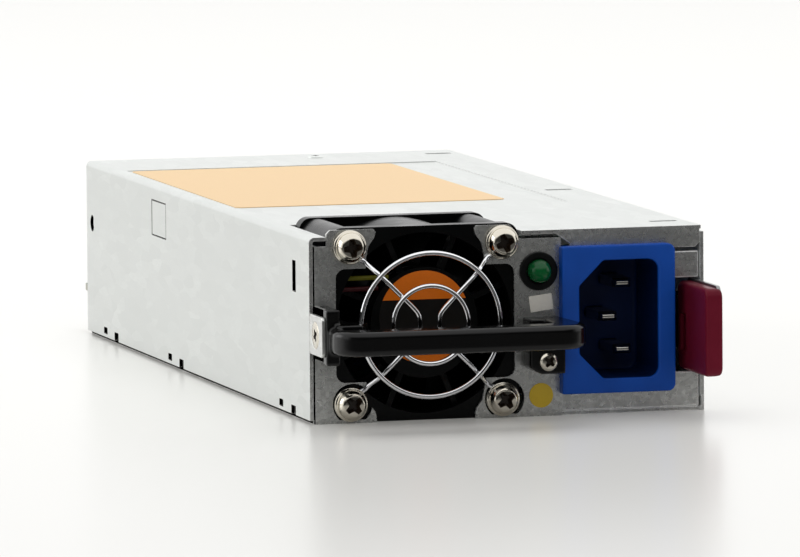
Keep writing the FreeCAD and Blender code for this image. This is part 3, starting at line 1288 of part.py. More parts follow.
def make_output_section():
    """Output choke, heat sink, capacitors, busbars and the control card."""
    start = OUTPUT_FRONT
    centre = (BOARD_RIGHT - 13, start + 7)
    keep(ring("output_ring", "z", 8.5, 3.6, (BOARD_TOP, BOARD_TOP + 12), centre), "output_choke")
    web = box("output_web", (BOARD_LEFT + 8, BOARD_LEFT + 40), (start, start + 3),
              (BOARD_TOP, BOARD_TOP + 24))
    fins = [box(f"output_fin_{number}", (BOARD_LEFT + 8 + 6 * number, BOARD_LEFT + 9.5 + 6 * number),
                (start - 3, start + 0.1), (BOARD_TOP + 1, BOARD_TOP + 24)) for number in range(6)]
    keep(fuse("output_sink_joined", web, *fins), "output_heatsink")
    cans = [rod(f"output_can_{number}", "z", 4.0, (BOARD_TOP, BOARD_TOP + 15),
                (BOARD_LEFT + 12.5 + 9 * number, start + 10)) for number in range(4)]
    keep(fuse("output_can_set", *cans), "output_capacitors")
    card_left = BOARD_RIGHT - 3.0
    card = box("card_sheet", (card_left, card_left + 1.0), (BOARD_FRONT + 86, BOARD_REAR - 12),
               (BOARD_TOP, BOARD_TOP + 24))
    keep(card, "control_card")
    chips = [box(f"chip_{number}", (card_left - 1.2, card_left),
                 (BOARD_FRONT + 90 + 14 * number, BOARD_FRONT + 98 + 14 * number),
                 (BOARD_TOP + 8, BOARD_TOP + 16)) for number in range(3)]
    keep(fuse("chip_set", *chips), "control_chips")


def make_edge_board():
    """Card edge at the rear: board, gold contacts and the busbars that carry it."""
    front = BOARD_REAR - 14
    rear = REAR + s.edge_reach
    keep(rounded_block("edge_sheet", (EDGE_LEFT, EDGE_RIGHT), (front, rear), (EDGE_LOW, EDGE_TOP), 1.2,
                       lambda middle, run: abs(run.z) > 0.99 and middle.y > num(REAR)), "edge_board")
    bars = [box(f"busbar_{number}", (EDGE_LEFT + 18 + 16 * number, EDGE_LEFT + 31 + 16 * number),
                (front + 1, front + 9),
                (BOARD_TOP, EDGE_LOW)) for number in range(2)]
    keep(fuse("busbar_set", *bars), "busbars")
    contacts = []
    for face, (low, high) in (("top", (EDGE_TOP, EDGE_TOP + 0.08)), ("low", (EDGE_LOW - 0.08, EDGE_LOW))):
        for number in range(16):
            left = EDGE_LEFT + 1.6 + 3.0 * number
            contacts.append(box(f"contact_{face}_{number}", (left, left + 2.0), (rear - 8.0, rear - 1.0),
                                (low, high)))
    keep(fuse("contact_set", *contacts), "edge_contacts")


# ---------------------------------------------------------------- build, check, write
def check_document():
    """Stops if any object failed to compute or any finished piece is empty or unsound."""
    for thing in doc.Objects:
        if "Invalid" in thing.State or "Error" in thing.State:
            raise RuntimeError(f"{thing.Label} failed: {thing.State}")
    for piece in PARTS:
        if piece.Shape.isNull() or not piece.Shape.isValid():
            raise RuntimeError(f"{piece.Label} has no sound shape")


def write_parts():
    """Writes one STEP file for each piece, named after it."""
    os.makedirs("parts", exist_ok=True)
    for piece in PARTS:
        piece.Shape.exportStep(os.path.join("parts", f"{piece.Label}.step"))


def main():
    """Builds the whole supply."""
    make_top_cover()
    make_base_tray()
    make_front_plates()
    make_inlet_panel()
    make_rear_panel()
    make_cover_screw()
    make_fan_frame()
    make_fan_motor_mount()
    make_fan_rotor()
    make_fan_motor()
    make_fan_leads()
    make_fan_plug()
    make_fan_guard()
    make_fan_screws()
    make_lamp()
    make_inlet()
    make_inlet_leads()
    make_handle()
    make_handle_fixings()
    make_latch_arm()
    make_latch_tab()
    make_latch_pivot()
    make_latch_spring()
    make_labels()
    make_board()
    make_filter_section()
    make_bulk_section()
    make_switch_section()
    make_output_section()
    make_edge_board()
    doc.recompute()
    check_document()
    write_parts()


main()
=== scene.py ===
"""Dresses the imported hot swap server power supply: finishes, detailed pieces, floor, light and camera.

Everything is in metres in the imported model's frame: X to the right across the front, Y from the front to
the rear, Z up, with the origin in the middle of the case's underside.
"""
import math

import bmesh
import bpy
from bpy.props import FloatProperty, FloatVectorProperty, PointerProperty
from mathutils import Matrix, Vector


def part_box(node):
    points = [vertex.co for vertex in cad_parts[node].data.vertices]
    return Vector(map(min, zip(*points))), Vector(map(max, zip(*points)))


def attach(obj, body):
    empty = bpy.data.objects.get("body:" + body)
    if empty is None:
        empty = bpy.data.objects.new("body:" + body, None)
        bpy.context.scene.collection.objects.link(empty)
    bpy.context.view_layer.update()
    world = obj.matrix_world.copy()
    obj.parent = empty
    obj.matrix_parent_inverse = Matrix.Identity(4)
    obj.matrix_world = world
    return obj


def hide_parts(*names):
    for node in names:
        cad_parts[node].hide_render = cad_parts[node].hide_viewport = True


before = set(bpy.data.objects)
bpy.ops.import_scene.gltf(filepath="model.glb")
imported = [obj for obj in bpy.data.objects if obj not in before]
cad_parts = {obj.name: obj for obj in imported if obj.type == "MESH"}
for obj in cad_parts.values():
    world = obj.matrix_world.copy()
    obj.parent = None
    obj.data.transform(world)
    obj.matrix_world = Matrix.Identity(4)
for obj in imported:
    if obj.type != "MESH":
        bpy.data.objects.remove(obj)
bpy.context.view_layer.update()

MM = 0.001
FRONT_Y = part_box("front_plate_right")[0].y
CASE = "case"
WHEEL = "fan_wheel"
LATCH = "latch"

bl_info = {
    "name": "Hot Swap Supply Dressing",
    "version": (1, 0, 0),
    "blender": (4, 5, 0),
    "location": "View3D > Sidebar > Supply",
    "description": "Builds the finishes and fine pieces of a hot swap server power supply",
    "category": "Object",
}


def linear(hex_colour):
    """An sRGB hex colour as linear red, green and blue."""
    channels = [int(hex_colour[place:place + 2], 16) / 255 for place in (0, 2, 4)]
    return tuple(c / 12.92 if c <= 0.04045 else ((c + 0.055) / 1.055) ** 2.4 for c in channels)


def with_alpha(colour, factor=1.0):
    """A linear colour as a node colour, made lighter or darker by a factor."""
    return tuple(min(1.0, channel * factor) for channel in colour) + (1.0,)


def colour_property(name, description, hex_colour):
    """A colour that a user may change."""
    return FloatVectorProperty(name=name, description=description, default=linear(hex_colour),
                               subtype="COLOR", size=3, min=0.0, max=1.0)


# ---- materials
def new_material(name):
    """An empty material whose nodes are still to be added."""
    material = bpy.data.materials.new(name)
    material.use_nodes = True
    material.node_tree.nodes.clear()
    return material


def add(owner, kind, inputs=(), output=0, **settings):
    """Adds one shader node with its settings and links, and gives one of its outputs.

    An input takes a plain value or another node's output. A node that ends the tree has no output to give.
    """
    tree = owner.node_tree
    made = tree.nodes.new(f"ShaderNode{kind}")
    for name, value in settings.items():
        setattr(made, name, value)
    for name, value in dict(inputs).items():
        if isinstance(value, bpy.types.NodeSocket):
            tree.links.new(value, made.inputs[name])
        else:
            made.inputs[name].default_value = value
    return made.outputs[output] if made.outputs else None


def toned(owner, pattern, start, end, first, second):
    """A colour that goes from the first to the second while a pattern goes from start to end."""
    share = add(owner, "MapRange", {"Value": pattern, "From Min": start, "From Max": end})
    return add(owner, "Mix", {0: share, 6: first, 7: second}, 2, data_type="RGBA")


def galvanised_sheet(name, colour, roughness, spangle_mm=2.4, contrast=0.04, metallic=0.85):
    """Hot-dip galvanised steel sheet, rolled and coated in zinc.

    The zinc froze in small crystals, so the eye sees a pale grey metal with faint patches a few millimetres
    across, each a little lighter or darker and drawn out along the sheet, over a fine frosted grain.
    """
    material = new_material(name)
    own = add(material, "TexCoord", output="Object")
    place = add(material, "Mapping", {"Vector": own, "Scale": (1.0, 0.3, 1.0)})
    wander = add(material, "TexNoise", {"Vector": place, "Scale": 1 / (3 * MM), "Detail": 2.0}, "Color")
    shift = add(material, "VectorMath", {0: wander, 1: [1.6 * MM] * 3}, operation="MULTIPLY")
    moved = add(material, "VectorMath", {0: place, 1: shift}, operation="ADD")
    crystals = add(material, "TexVoronoi", {"Vector": moved, "Scale": 1 / (spangle_mm * MM)}, "Color")
    crystal = add(material, "SeparateColor", {"Color": crystals})
    grain = add(material, "TexNoise", {"Vector": place, "Scale": 1 / (0.7 * MM), "Detail": 4.0,
                                       "Roughness": 0.7})
    cloud = add(material, "TexNoise", {"Vector": place, "Scale": 1 / (9 * MM), "Detail": 3.0})
    mottle = add(material, "Math", {0: crystal, 1: grain}, operation="MULTIPLY")
    dull = with_alpha(colour, 1 - contrast)
    tone = toned(material, mottle, 0.1, 0.7, dull, with_alpha(colour, 1 + contrast / 2))
    wear = add(material, "MapRange", {"Value": cloud, "From Min": 0.35, "From Max": 0.65, "To Max": 0.7})
    worn = add(material, "Mix", {0: wear, 6: tone, 7: dull}, 2, data_type="RGBA")
    gloss = add(material, "MapRange", {"Value": crystal.node.outputs["Green"],
                                       "To Min": roughness - 0.03, "To Max": roughness + 0.05})
    relief = add(material, "Bump", {"Height": grain, "Distance": 0.02 * MM, "Strength": 2.5 * contrast})
    shader = add(material, "BsdfPrincipled", {"Base Color": worn, "Metallic": metallic,
                                              "Roughness": gloss, "Normal": relief})
    add(material, "OutputMaterial", {"Surface": shader})
    return material


def plated_wire(name, colour, roughness):
    """Nickel and chromium plated steel, polished: a mirror that shows the room, with a faint frosting.

    The frosting of real plating is finer than the eye can see, and is drawn 1.4 mm coarse to show at all.
    """
    material = new_material(name)
    place = add(material, "TexCoord", output="Object")
    frost = add(material, "TexNoise", {"Vector": place, "Scale": 1 / (1.4 * MM), "Detail": 3.0})
    gloss = add(material, "MapRange", {"Value": frost, "From Min": 0.35, "From Max": 0.7,
                                       "To Min": roughness, "To Max": roughness + 0.05})
    relief = add(material, "Bump", {"Height": frost, "Distance": 0.006 * MM, "Strength": 0.15})
    shader = add(material, "BsdfPrincipled", {"Base Color": with_alpha(colour), "Metallic": 1.0,
                                              "Roughness": gloss, "Normal": relief})
    add(material, "OutputMaterial", {"Surface": shader})
    return material


def moulded_plastic(name, colour, roughness, grain_mm=0.35, grain_depth=0.012, shine=0.3):
    """Injection moulded plastic: an even colour under a fine spark-eroded grain, shinier in patches.

    The grain of a real mould is some hundredths of a millimetre, and is drawn ten times as coarse to show.
    """
    material = new_material(name)
    place = add(material, "TexCoord", output="Object")
    grain = add(material, "TexNoise", {"Vector": place, "Scale": 1 / (grain_mm * MM), "Detail": 3.0,
                                       "Roughness": 0.6})
    flow = add(material, "TexNoise", {"Vector": place, "Scale": 1 / (9 * MM), "Detail": 2.0})
    tone = toned(material, flow, 0.3, 0.75, with_alpha(colour), with_alpha(colour, 1.22))
    gloss = add(material, "MapRange", {"Value": flow, "From Min": 0.3, "From Max": 0.7,
                                       "To Min": roughness - 0.06, "To Max": roughness + 0.08})
    relief = add(material, "Bump", {"Height": grain, "Distance": grain_depth * MM, "Strength": 0.6})
    shader = add(material, "BsdfPrincipled", {"Base Color": tone, "Roughness": gloss, "Normal": relief,
                                              "Specular IOR Level": shine})
    add(material, "OutputMaterial", {"Surface": shader})
    return material


def shaded_steel(name, hex_colour, roughness, shine):
    """Painted shade for steel deep in a recess or behind a fold: a dull finish drawn nearly black for the
    shade there.
    """
    return moulded_plastic(name, linear(hex_colour), roughness, shine=shine)


def printed_paper(name, colour, roughness=0.45):
    """Self-adhesive label stock, printed and varnished: flat colour with faint fibre and a slight waviness.

    The fibres of real paper are finer than the eye can see, and are drawn as clouds of 0.5 mm.
    """
    material = new_material(name)
    place = add(material, "TexCoord", output="Object")
    fibre = add(material, "TexNoise", {"Vector": place, "Scale": 1 / (0.5 * MM), "Detail": 4.0,
                                       "Roughness": 0.7})
    wave = add(material, "TexNoise", {"Vector": place, "Scale": 1 / (14 * MM), "Detail": 1.0})
    tone = toned(material, fibre, 0.3, 0.7, with_alpha(colour, 0.95), with_alpha(colour))
    relief = add(material, "Bump", {"Height": wave, "Distance": 0.08 * MM, "Strength": 0.5})
    shader = add(material, "BsdfPrincipled", {"Base Color": tone, "Roughness": roughness, "Normal": relief})
    add(material, "OutputMaterial", {"Surface": shader})
    return material


def clear_lens(name, colour):
    """Tinted cast epoxy of a lamp: deep green with a wet surface, lighter where the dome is thin."""
    material = new_material(name)
    edge = add(material, "LayerWeight", {"Blend": 0.35}, "Facing")
    tone = add(material, "Mix", {0: edge, 6: with_alpha(colour, 1.25), 7: with_alpha(colour, 0.5)}, 2,
               data_type="RGBA")
    shader = add(material, "BsdfPrincipled", {
        "Base Color": tone, "Roughness": 0.14, "IOR": 1.52, "Specular IOR Level": 0.28,
        "Subsurface Weight": 0.15, "Subsurface Radius": (1.0 * MM, 2.0 * MM, 1.0 * MM)})
    add(material, "OutputMaterial", {"Surface": shader})
    return material


def wound_copper(name, colour):
    """Enamelled copper wire laid side by side: close bright ridges in a warm brown."""
    material = new_material(name)
    place = add(material, "TexCoord", output="Object")
    turns = add(material, "TexWave", {"Vector": place, "Scale": 1 / (2.4 * MM), "Distortion": 1.2}, "Fac",
                wave_type="RINGS", rings_direction="Z")
    tone = add(material, "Mix", {0: turns, 6: with_alpha(colour, 0.55), 7: with_alpha(colour, 1.2)}, 2,
               data_type="RGBA")
    relief = add(material, "Bump", {"Height": turns, "Distance": 0.3 * MM, "Strength": 0.8})
    shader = add(material, "BsdfPrincipled", {"Base Color": tone, "Metallic": 0.7, "Roughness": 0.35,
                                              "Normal": relief})
    add(material, "OutputMaterial", {"Surface": shader})
    return material


def circuit_laminate(name, colour):
    """Glass and epoxy laminate under green solder mask: woven glass shows faintly through the varnish."""
    material = new_material(name)
    place = add(material, "TexCoord", output="Object")
    weave = add(material, "TexBrick", {
        "Vector": place, "Scale": 1 / (1.6 * MM), "Mortar Size": 0.01, "Color1": with_alpha(colour),
        "Color2": with_alpha(colour, 0.8), "Mortar": with_alpha(colour, 1.4)})
    relief = add(material, "Bump", {"Height": weave.node.outputs["Fac"], "Distance": 0.02 * MM,
                                    "Strength": 0.4})
    shader = add(material, "BsdfPrincipled", {"Base Color": weave, "Roughness": 0.3, "Normal": relief})
    add(material, "OutputMaterial", {"Surface": shader})
    return material


# ---- mesh helpers
WELD = 0.002 * MM
FLAT_DEGREES = 0.6
# What a rounding may use up of the shortest side beside its edge.
ROUNDING_SHARE = 0.42
# How far a side may point along its edge and still count as turning away from it.
TURNS_AWAY = 0.85


def middle_of(node):
    """The middle of a CAD node's box."""
    low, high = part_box(node)
    return (low + high) / 2


def placed(name, node, mesh, material, body):
    """Puts a mesh into the scene as a piece of the object, on its body and in place of its CAD node."""
    piece = bpy.data.objects.new(name, mesh)
    bpy.context.scene.collection.objects.link(piece)
    mesh.materials.clear()
    mesh.materials.append(material)
    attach(piece, body)
    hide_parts(node)
    return piece


def finished(name, node, bm, material, body):
    """Turns a bmesh into a smooth piece of the object."""
    mesh = bpy.data.meshes.new(name)
    bm.normal_update()
    bm.to_mesh(mesh)
    bm.free()
    mesh.shade_smooth()
    return placed(name, node, mesh, material, body)


def cad_copy(node):
    """A CAD node's mesh as a bmesh whose faces share their corners."""
    bm = bmesh.new()
    bm.from_mesh(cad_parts[node].data)
    bmesh.ops.remove_doubles(bm, verts=bm.verts, dist=WELD)
    return bm


def room_beside(edge):
    """The shortest side that turns away from an edge, which is the room that its rounding has."""
    along = (edge.verts[1].co - edge.verts[0].co).normalized()
    room = 1.0
    for loop in edge.link_loops:
        for beside in (loop.link_loop_prev.edge, loop.link_loop_next.edge):
            across = beside.verts[1].co - beside.verts[0].co
            if across.length > 0 and abs(across.normalized().dot(along)) < TURNS_AWAY:
                room = min(room, across.length)
    return room


def dressed(node, material, body, rounding_mm, segments=2, angle=35.0, edge_finish=None):
    """A copy of a CAD piece with its flats joined again and its edges rounded, standing for that piece.

    The rounded edges may have a finish of their own, such as a painted highlight along the edges of sheet
    metal.
    """
    bm = cad_copy(node)
    bmesh.ops.dissolve_limit(bm, angle_limit=math.radians(FLAT_DEGREES), verts=bm.verts, edges=bm.edges)
    if rounding_mm:
        width = rounding_mm * MM
        weights = bm.edges.layers.float.new("bevel_weight_edge")
        for edge in bm.edges:
            if len(edge.link_faces) == 2 and edge.calc_face_angle() > math.radians(angle):
                edge[weights] = min(1.0, ROUNDING_SHARE * room_beside(edge) / width)
    piece = finished(f"{node}_dressed", node, bm, material, body)
    if rounding_mm:
        bevel = piece.modifiers.new("rounding", "BEVEL")
        bevel.width = width
        bevel.segments = segments
        bevel.limit_method = "WEIGHT"
        bevel.use_clamp_overlap = True
        if edge_finish:
            piece.data.materials.append(edge_finish)
            bevel.material = 1
        flats = piece.modifiers.new("flats", "WEIGHTED_NORMAL")
        flats.weight = 100
    else:
        piece.data.set_sharp_from_angle(angle=math.radians(angle))
    return piece


def settled(holder):
    """The mesh that an object has after its modifiers; the object itself goes."""
    bpy.context.scene.collection.objects.link(holder)
    bpy.context.view_layer.update()
    mesh = bpy.data.meshes.new_from_object(holder.evaluated_get(bpy.context.evaluated_depsgraph_get()))
    bpy.data.objects.remove(holder)
    return mesh


def moulded(node, material, body, fineness_mm, passes):
    """A copy of a CAD piece with soft edges all over, as a moulding has, standing for that piece."""
    bm = cad_copy(node)
    mesh = bpy.data.meshes.new(f"{node}_rough")
    bm.to_mesh(mesh)
    bm.free()
    holder = bpy.data.objects.new(f"{node}_rough", mesh)
    skin = holder.modifiers.new("skin", "REMESH")
    skin.mode = "VOXEL"
    skin.voxel_size = fineness_mm * MM
    soften = holder.modifiers.new("soften", "SMOOTH")
    soften.factor = 0.5
    soften.iterations = passes
    result = settled(holder)
    bpy.data.meshes.remove(mesh)
    result.shade_smooth()
    return placed(f"{node}_moulded", node, result, material, body)


def islands(bm):
    """The separate solids of a mesh, each as a list of faces."""
    left = set(bm.faces)
    found = []
    while left:
        open_faces = [left.pop()]
        island = []
        while open_faces:
            face = open_faces.pop()
            island.append(face)
            near = [other for edge in face.edges for other in edge.link_faces if other in left]
            left.difference_update(near)
            open_faces.extend(near)
        found.append(island)
    return found


def second_finish(piece, material, chosen):
    """Gives the faces that a test picks one more material."""
    piece.data.materials.append(material)
    for face in piece.data.polygons:
        if chosen(face):
            face.material_index = len(piece.data.materials) - 1


def repaint(nodes, material):
    """Gives a finish to CAD nodes that keep their own shape."""
    for node in nodes:
        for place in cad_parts[node].material_slots:
            place.material = material


def lathe(bm, profile, segments=64):
    """Turns a profile of radius and height about the Z axis; a radius of 0 closes it with one point."""
    rows = []
    for radius, height in profile:
        if radius == 0:
            rows.append([bm.verts.new((0, 0, height))])
            continue
        row = []
        for number in range(segments):
            turn = 2 * math.pi * number / segments
            row.append(bm.verts.new((radius * math.cos(turn), radius * math.sin(turn), height)))
        rows.append(row)
    for lower, upper in zip(rows, rows[1:]):
        for number in range(segments):
            following = (number + 1) % segments
            corners = [lower[number % len(lower)], lower[following % len(lower)],
                       upper[following % len(upper)], upper[number % len(upper)]]
            unique = list(dict.fromkeys(corners))
            if len(unique) > 2:
                bm.faces.new(unique)
    bmesh.ops.recalc_face_normals(bm, faces=bm.faces)


def join_rings(bm, first, second):
    """Faces between two rings that have as many corners."""
    for corners in zip(first, first[1:] + first[:1], second[1:] + second[:1], second):
        bm.faces.new(corners)


def rounded_profile(corners, radii, steps=5):
    """A profile with its inner corners rounded by arcs."""
    points = [corners[0]]
    for index in range(1, len(corners) - 1):
        here = Vector(corners[index])
        before = (Vector(corners[index - 1]) - here).normalized()
        after = (Vector(corners[index + 1]) - here).normalized()
        reach = radii[index - 1]
        for step in range(steps + 1):
            share = step / steps
            bend = before * reach * (1 - share) ** 2 + after * reach * share ** 2
            points.append(tuple(here + bend))
    points.append(corners[-1])
    return points


def wire_mesh(points, radius, closed=False, round_steps=12):
    """A round wire along a smooth curve whose control points are given, as a bmesh."""
    curve = bpy.data.curves.new("wire_route", "CURVE")
    curve.dimensions = "3D"
    spline = curve.splines.new("NURBS")
    spline.points.add(len(points) - 1)
    for point, place in zip(spline.points, points):
        point.co = (*place, 1.0)
    spline.use_cyclic_u = closed
    spline.order_u = 3
    spline.use_endpoint_u = not closed
    spline.resolution_u = round_steps
    curve.bevel_depth = radius
    curve.bevel_resolution = 5
    curve.use_fill_caps = True
    mesh = settled(bpy.data.objects.new("wire_holder", curve))
    bpy.data.curves.remove(curve)
    bm = bmesh.new()
    bm.from_mesh(mesh)
    bpy.data.meshes.remove(mesh)
    return bm


def joined(meshes):
    """Several bmeshes in one."""
    whole = bmesh.new()
    for bm in meshes:
        carrier = bpy.data.meshes.new("carrier")
        bm.to_mesh(carrier)
        bm.free()
        whole.from_mesh(carrier)
        bpy.data.meshes.remove(carrier)
    return whole


def facing(place, degrees, axis, turn=0.0):
    """Carries what was drawn about Z to a place, tipped about an axis after its own turn about Z."""
    tip = Matrix.Rotation(math.radians(degrees), 4, axis)
    return Matrix.Translation(place) @ tip @ Matrix.Rotation(turn, 4, "Z")


def facing_front(place, turn=0.0):
    """Carries what was drawn about Z to a place, with Z pointing out of the front."""
    return facing(place, 90, "X", turn)


def facing_left(place, turn=0.0):
    """Carries what was drawn about Z to a place, with Z pointing out of the left side."""
    return facing(place, -90, "Y", turn)


# ---- screws
def cross_tool(size, top, depth):
    """A tapered four-armed punch for a cross recess, pointing down from the given height."""
    bm = bmesh.new()
    arm = size * 0.13
    quarter = [(size / 2, -arm), (size / 2, arm), (arm * 1.5, arm * 1.5)]
    outline = []
    for _ in range(4):
        outline.extend(quarter)
        quarter = [(-y, x) for x, y in quarter]
    levels = ((1.08, top + 0.3 * MM), (1.0, top), (0.55, top - depth))
    rows = [[bm.verts.new((x * share, y * share, height)) for x, y in outline] for share, height in levels]
    for upper, lower in zip(rows, rows[1:]):
        join_rings(bm, lower, upper)
    bm.faces.new(rows[0])
    bm.faces.new(list(reversed(rows[-1])))
    bmesh.ops.recalc_face_normals(bm, faces=bm.faces)
    return bm


def screw_mesh(profile, cross_size, cross_depth):
    """A turned screw head with a cross punched in its top, as a mesh about Z; the cross has finish 1."""
    head = bmesh.new()
    lathe(head, profile, 72)
    top = profile[-1][1]
    parts = []
    for name, bm in (("head", head), ("punch", cross_tool(cross_size, top, cross_depth))):
        mesh = bpy.data.meshes.new(f"screw_{name}")
        bm.to_mesh(mesh)
        bm.free()
        for finish in ("plate", "recess"):
            mesh.materials.append(bpy.data.materials.get(finish) or bpy.data.materials.new(finish))
        for face in mesh.polygons:
            face.material_index = int(name == "punch")
        parts.append(bpy.data.objects.new(f"screw_{name}", mesh))
    blank, punch = parts
    bpy.context.scene.collection.objects.link(punch)
    punched = blank.modifiers.new("cross", "BOOLEAN")
    punched.operation = "DIFFERENCE"
    punched.object = punch
    punched.solver = "EXACT"
    punched.material_mode = "INDEX"
    result = settled(blank)
    bpy.data.objects.remove(punch)
    return result


def set_screws(name, node, mesh, places, material):
    """Copies one screw to every place it is used, as one piece of the case."""
    whole = bmesh.new()
    for place in places:
        copy = mesh.copy()
        copy.transform(place)
        whole.from_mesh(copy)
        bpy.data.meshes.remove(copy)
    mesh_out = bpy.data.meshes.new(name)
    whole.to_mesh(mesh_out)
    whole.free()
    mesh_out.shade_smooth()
    mesh_out.set_sharp_from_angle(angle=math.radians(38))
    finishes = [face.material_index for face in mesh_out.polygons]
    placed(name, node, mesh_out, material, CASE)
    # painted shade: the cross recess gets a dark brown finish for the shade inside it
    mesh_out.materials.append(shaded_steel(f"{name}_recess", "241A10", 0.35, 0.4))
    mesh_out.polygons.foreach_set("material_index", finishes)


# ---- settings
class SupplySettings(bpy.types.PropertyGroup):
    """Colours and sizes that a user may change before the pieces are built."""

    zinc: colour_property("Zinc", "Galvanised sheet of the case", "E8EBE8")
    front_zinc: colour_property("Front zinc", "Galvanised sheet of the front plates", "E2E3E0")
    nickel: colour_property("Nickel", "Plating of the screws", "DCD6C8")
    chromium: colour_property("Chromium", "Plating of the wire guard", "F2F3F5")
    fan_black: colour_property("Fan black", "Moulding of the fan", "040505")
    handle_black: colour_property("Handle black", "Moulding of the handle", "070707")
    inlet_blue: colour_property("Inlet blue", "Moulding of the mains inlet", "0545A0")
    tab_maroon: colour_property("Tab maroon", "Moulding of the latch tab", "681226")
    lamp_green: colour_property("Lamp green", "Lens of the status lamp", "0A5228")
    label_orange: colour_property("Label orange", "Large label on the cover", "FFD89E")
    hub_orange: colour_property("Hub orange", "Round label on the fan's hub", "E87402")
    laminate_green: colour_property("Laminate green", "Circuit boards", "1F5C38")
    copper: colour_property("Copper", "Windings", "8A4A26")
    edge_round: FloatProperty(name="Edge round", description="Rounding of the sheet metal's cut edges",
                              default=0.2 * MM, min=0.0, max=0.5 * MM, unit="LENGTH", precision=5)
    lamp_power: FloatProperty(name="Main light", description="Strength of the light above",
                              default=9.0, min=0.0, unit="POWER")
    room_light: FloatProperty(name="Room light", description="Strength of the pale room around",
                              default=0.55, min=0.0, max=2.0)


def settings():
    """The user's settings."""
    return bpy.context.scene.supply


# ---- case
# A little more than the sheet's thickness.
SHEET_REACH = 1.2 * MM
# Depth under the side's outer face at which its painted shade begins.
SIDE_SHADE = 0.1 * MM
# The front plates' edges are rounder than the case's by this much.
PLATE_ROUNDING = 1.6


def behind_side(face):
    """Whether a face looks left from just inside the cover's left side, where it lies in shadow."""
    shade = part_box("top_cover")[0].x + SIDE_SHADE
    return face.normal.x < -0.9 and shade < face.center.x < shade + SHEET_REACH


def on_front(face):
    """Whether a face is part of the front, and faces it."""
    return face.normal.y < -0.9 and face.center.y < FRONT_Y + SHEET_REACH


def in_side_hole():
    """A test for the cut walls of the holes in the cover's left side, which see little light."""
    low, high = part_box("top_cover")

    def inside(face):
        centre = face.center
        in_side = centre.x < low.x + 1.0 * MM and centre.z < high.z - 3.0 * MM
        return in_side and low.y + 1.0 * MM < centre.y < high.y - 1.0 * MM and abs(face.normal.x) < 0.5

    return inside


class SUPPLY_OT_case(bpy.types.Operator):
    """Build the folded sheet metal of the case, with its rounded cut edges"""

    bl_idname = "supply.case"
    bl_label = "Case"

    def execute(self, context):
        values = settings()
        rounding = values.edge_round / MM
        zinc = galvanised_sheet("galvanised_sheet_steel", values.zinc, 0.36, contrast=0.07, metallic=0.45)
        front = galvanised_sheet("galvanised_sheet_steel_front", values.front_zinc, 0.28, 0.8, 0.3, 0.82)
        # painted shade: a near-black finish for faces just inside the cover's left side and for the walls
        # of its holes, where shade falls
        shadowed = shaded_steel("painted_shade_black", "030303", 0.9, 0.0)
        # painted highlight: a near-white finish on the rounded edges of the sheets, standing for the light
        # they catch
        edge_highlight = galvanised_sheet("galvanised_sheet_painted_edge_highlight", linear("FAFAF8"), 0.24, metallic=0.3)
        for node in ("top_cover", "base_tray", "rear_panel"):
            piece = dressed(node, zinc, CASE, rounding, edge_finish=edge_highlight)
            second_finish(piece, front, on_front)
            if node != "rear_panel":
                second_finish(piece, shadowed, behind_side)
            if node == "top_cover":
                second_finish(piece, shadowed, in_side_hole())
        for node in ("front_plate_left", "front_plate_right", "inlet_panel"):
            piece = dressed(node, front, CASE, PLATE_ROUNDING * rounding, 3, edge_finish=edge_highlight)
            # painted shade on the left plate's faces just inside the cover's side
            if node == "front_plate_left":
                second_finish(piece, shadowed, behind_side)
        return {"FINISHED"}


# ---- labels
class SUPPLY_OT_labels(bpy.types.Operator):
    """Build the bare labels: the large orange one, the small white one and the yellow one"""

    bl_idname = "supply.labels"
    bl_label = "Labels"

    def execute(self, context):
        for node, shade, colour in (("top_label", "orange", settings().label_orange),
                                    ("white_sticker", "white", linear("E8E4DA")),
                                    ("yellow_sticker", "yellow", linear("D8B51C"))):
            dressed(node, printed_paper(f"varnished_paper_{shade}", colour), CASE, 0.04)
        return {"FINISHED"}


# ---- fan
BLADES = 7
BLADE_SPANS = 8
BLADE_CHORDS = 12
HUB_PITCH = 52.0
TIP_PITCH = 32.0
HUB_CHORD = 14.5 * MM
TIP_CHORD = 18.0 * MM
TIP_SWEEP = -0.12
BLADE_CAMBER = 1.6 * MM
# A blade's root inside the hub, its tip short of the rotor's size, and its edges inside the rotor's depth.
BLADE_SINK = 0.3 * MM
BLADE_GAP = 0.1 * MM
BLADE_INSET = 0.4 * MM
CUP_WALL = 0.9 * MM
CUP_FLOOR = 1.6 * MM
CUP_OVER_MAGNET = 0.95 * MM
SHAFT_SEAT = 1.55 * MM


def blade_side(bm, side, turn, inner, outer, front, rear, axis):
    """The corners of one side of a blade, in rows from the hub outwards."""
    middle = (front + rear) / 2
    rows = []
    for i in range(BLADE_SPANS + 1):
        share = i / BLADE_SPANS
        radius = inner + (outer - inner) * share
        pitch = math.radians(HUB_PITCH + (TIP_PITCH - HUB_PITCH) * share)
        chord = HUB_CHORD + (TIP_CHORD - HUB_CHORD) * share
        sweep = TIP_SWEEP * share * share
        row = []
        for j in range(BLADE_CHORDS + 1):
            along = j / BLADE_CHORDS - 0.5
            camber = BLADE_CAMBER * (1 - 4 * along * along)
            thick = side * 0.5 * MM * (1 - (2 * along) ** 4) + side * 0.08 * MM
            lift = camber + thick
            tangent = along * chord * math.cos(pitch) + lift * math.sin(pitch)
            depth = along * chord * math.sin(pitch) - lift * math.cos(pitch)
            angle = turn + tangent / radius + sweep
            y = min(max(middle + depth, front), rear)
            x = axis[0] + radius * math.cos(angle)
            z = axis[1] + radius * math.sin(angle)
            row.append(bm.verts.new((x, y, z)))
        rows.append(row)
    return rows


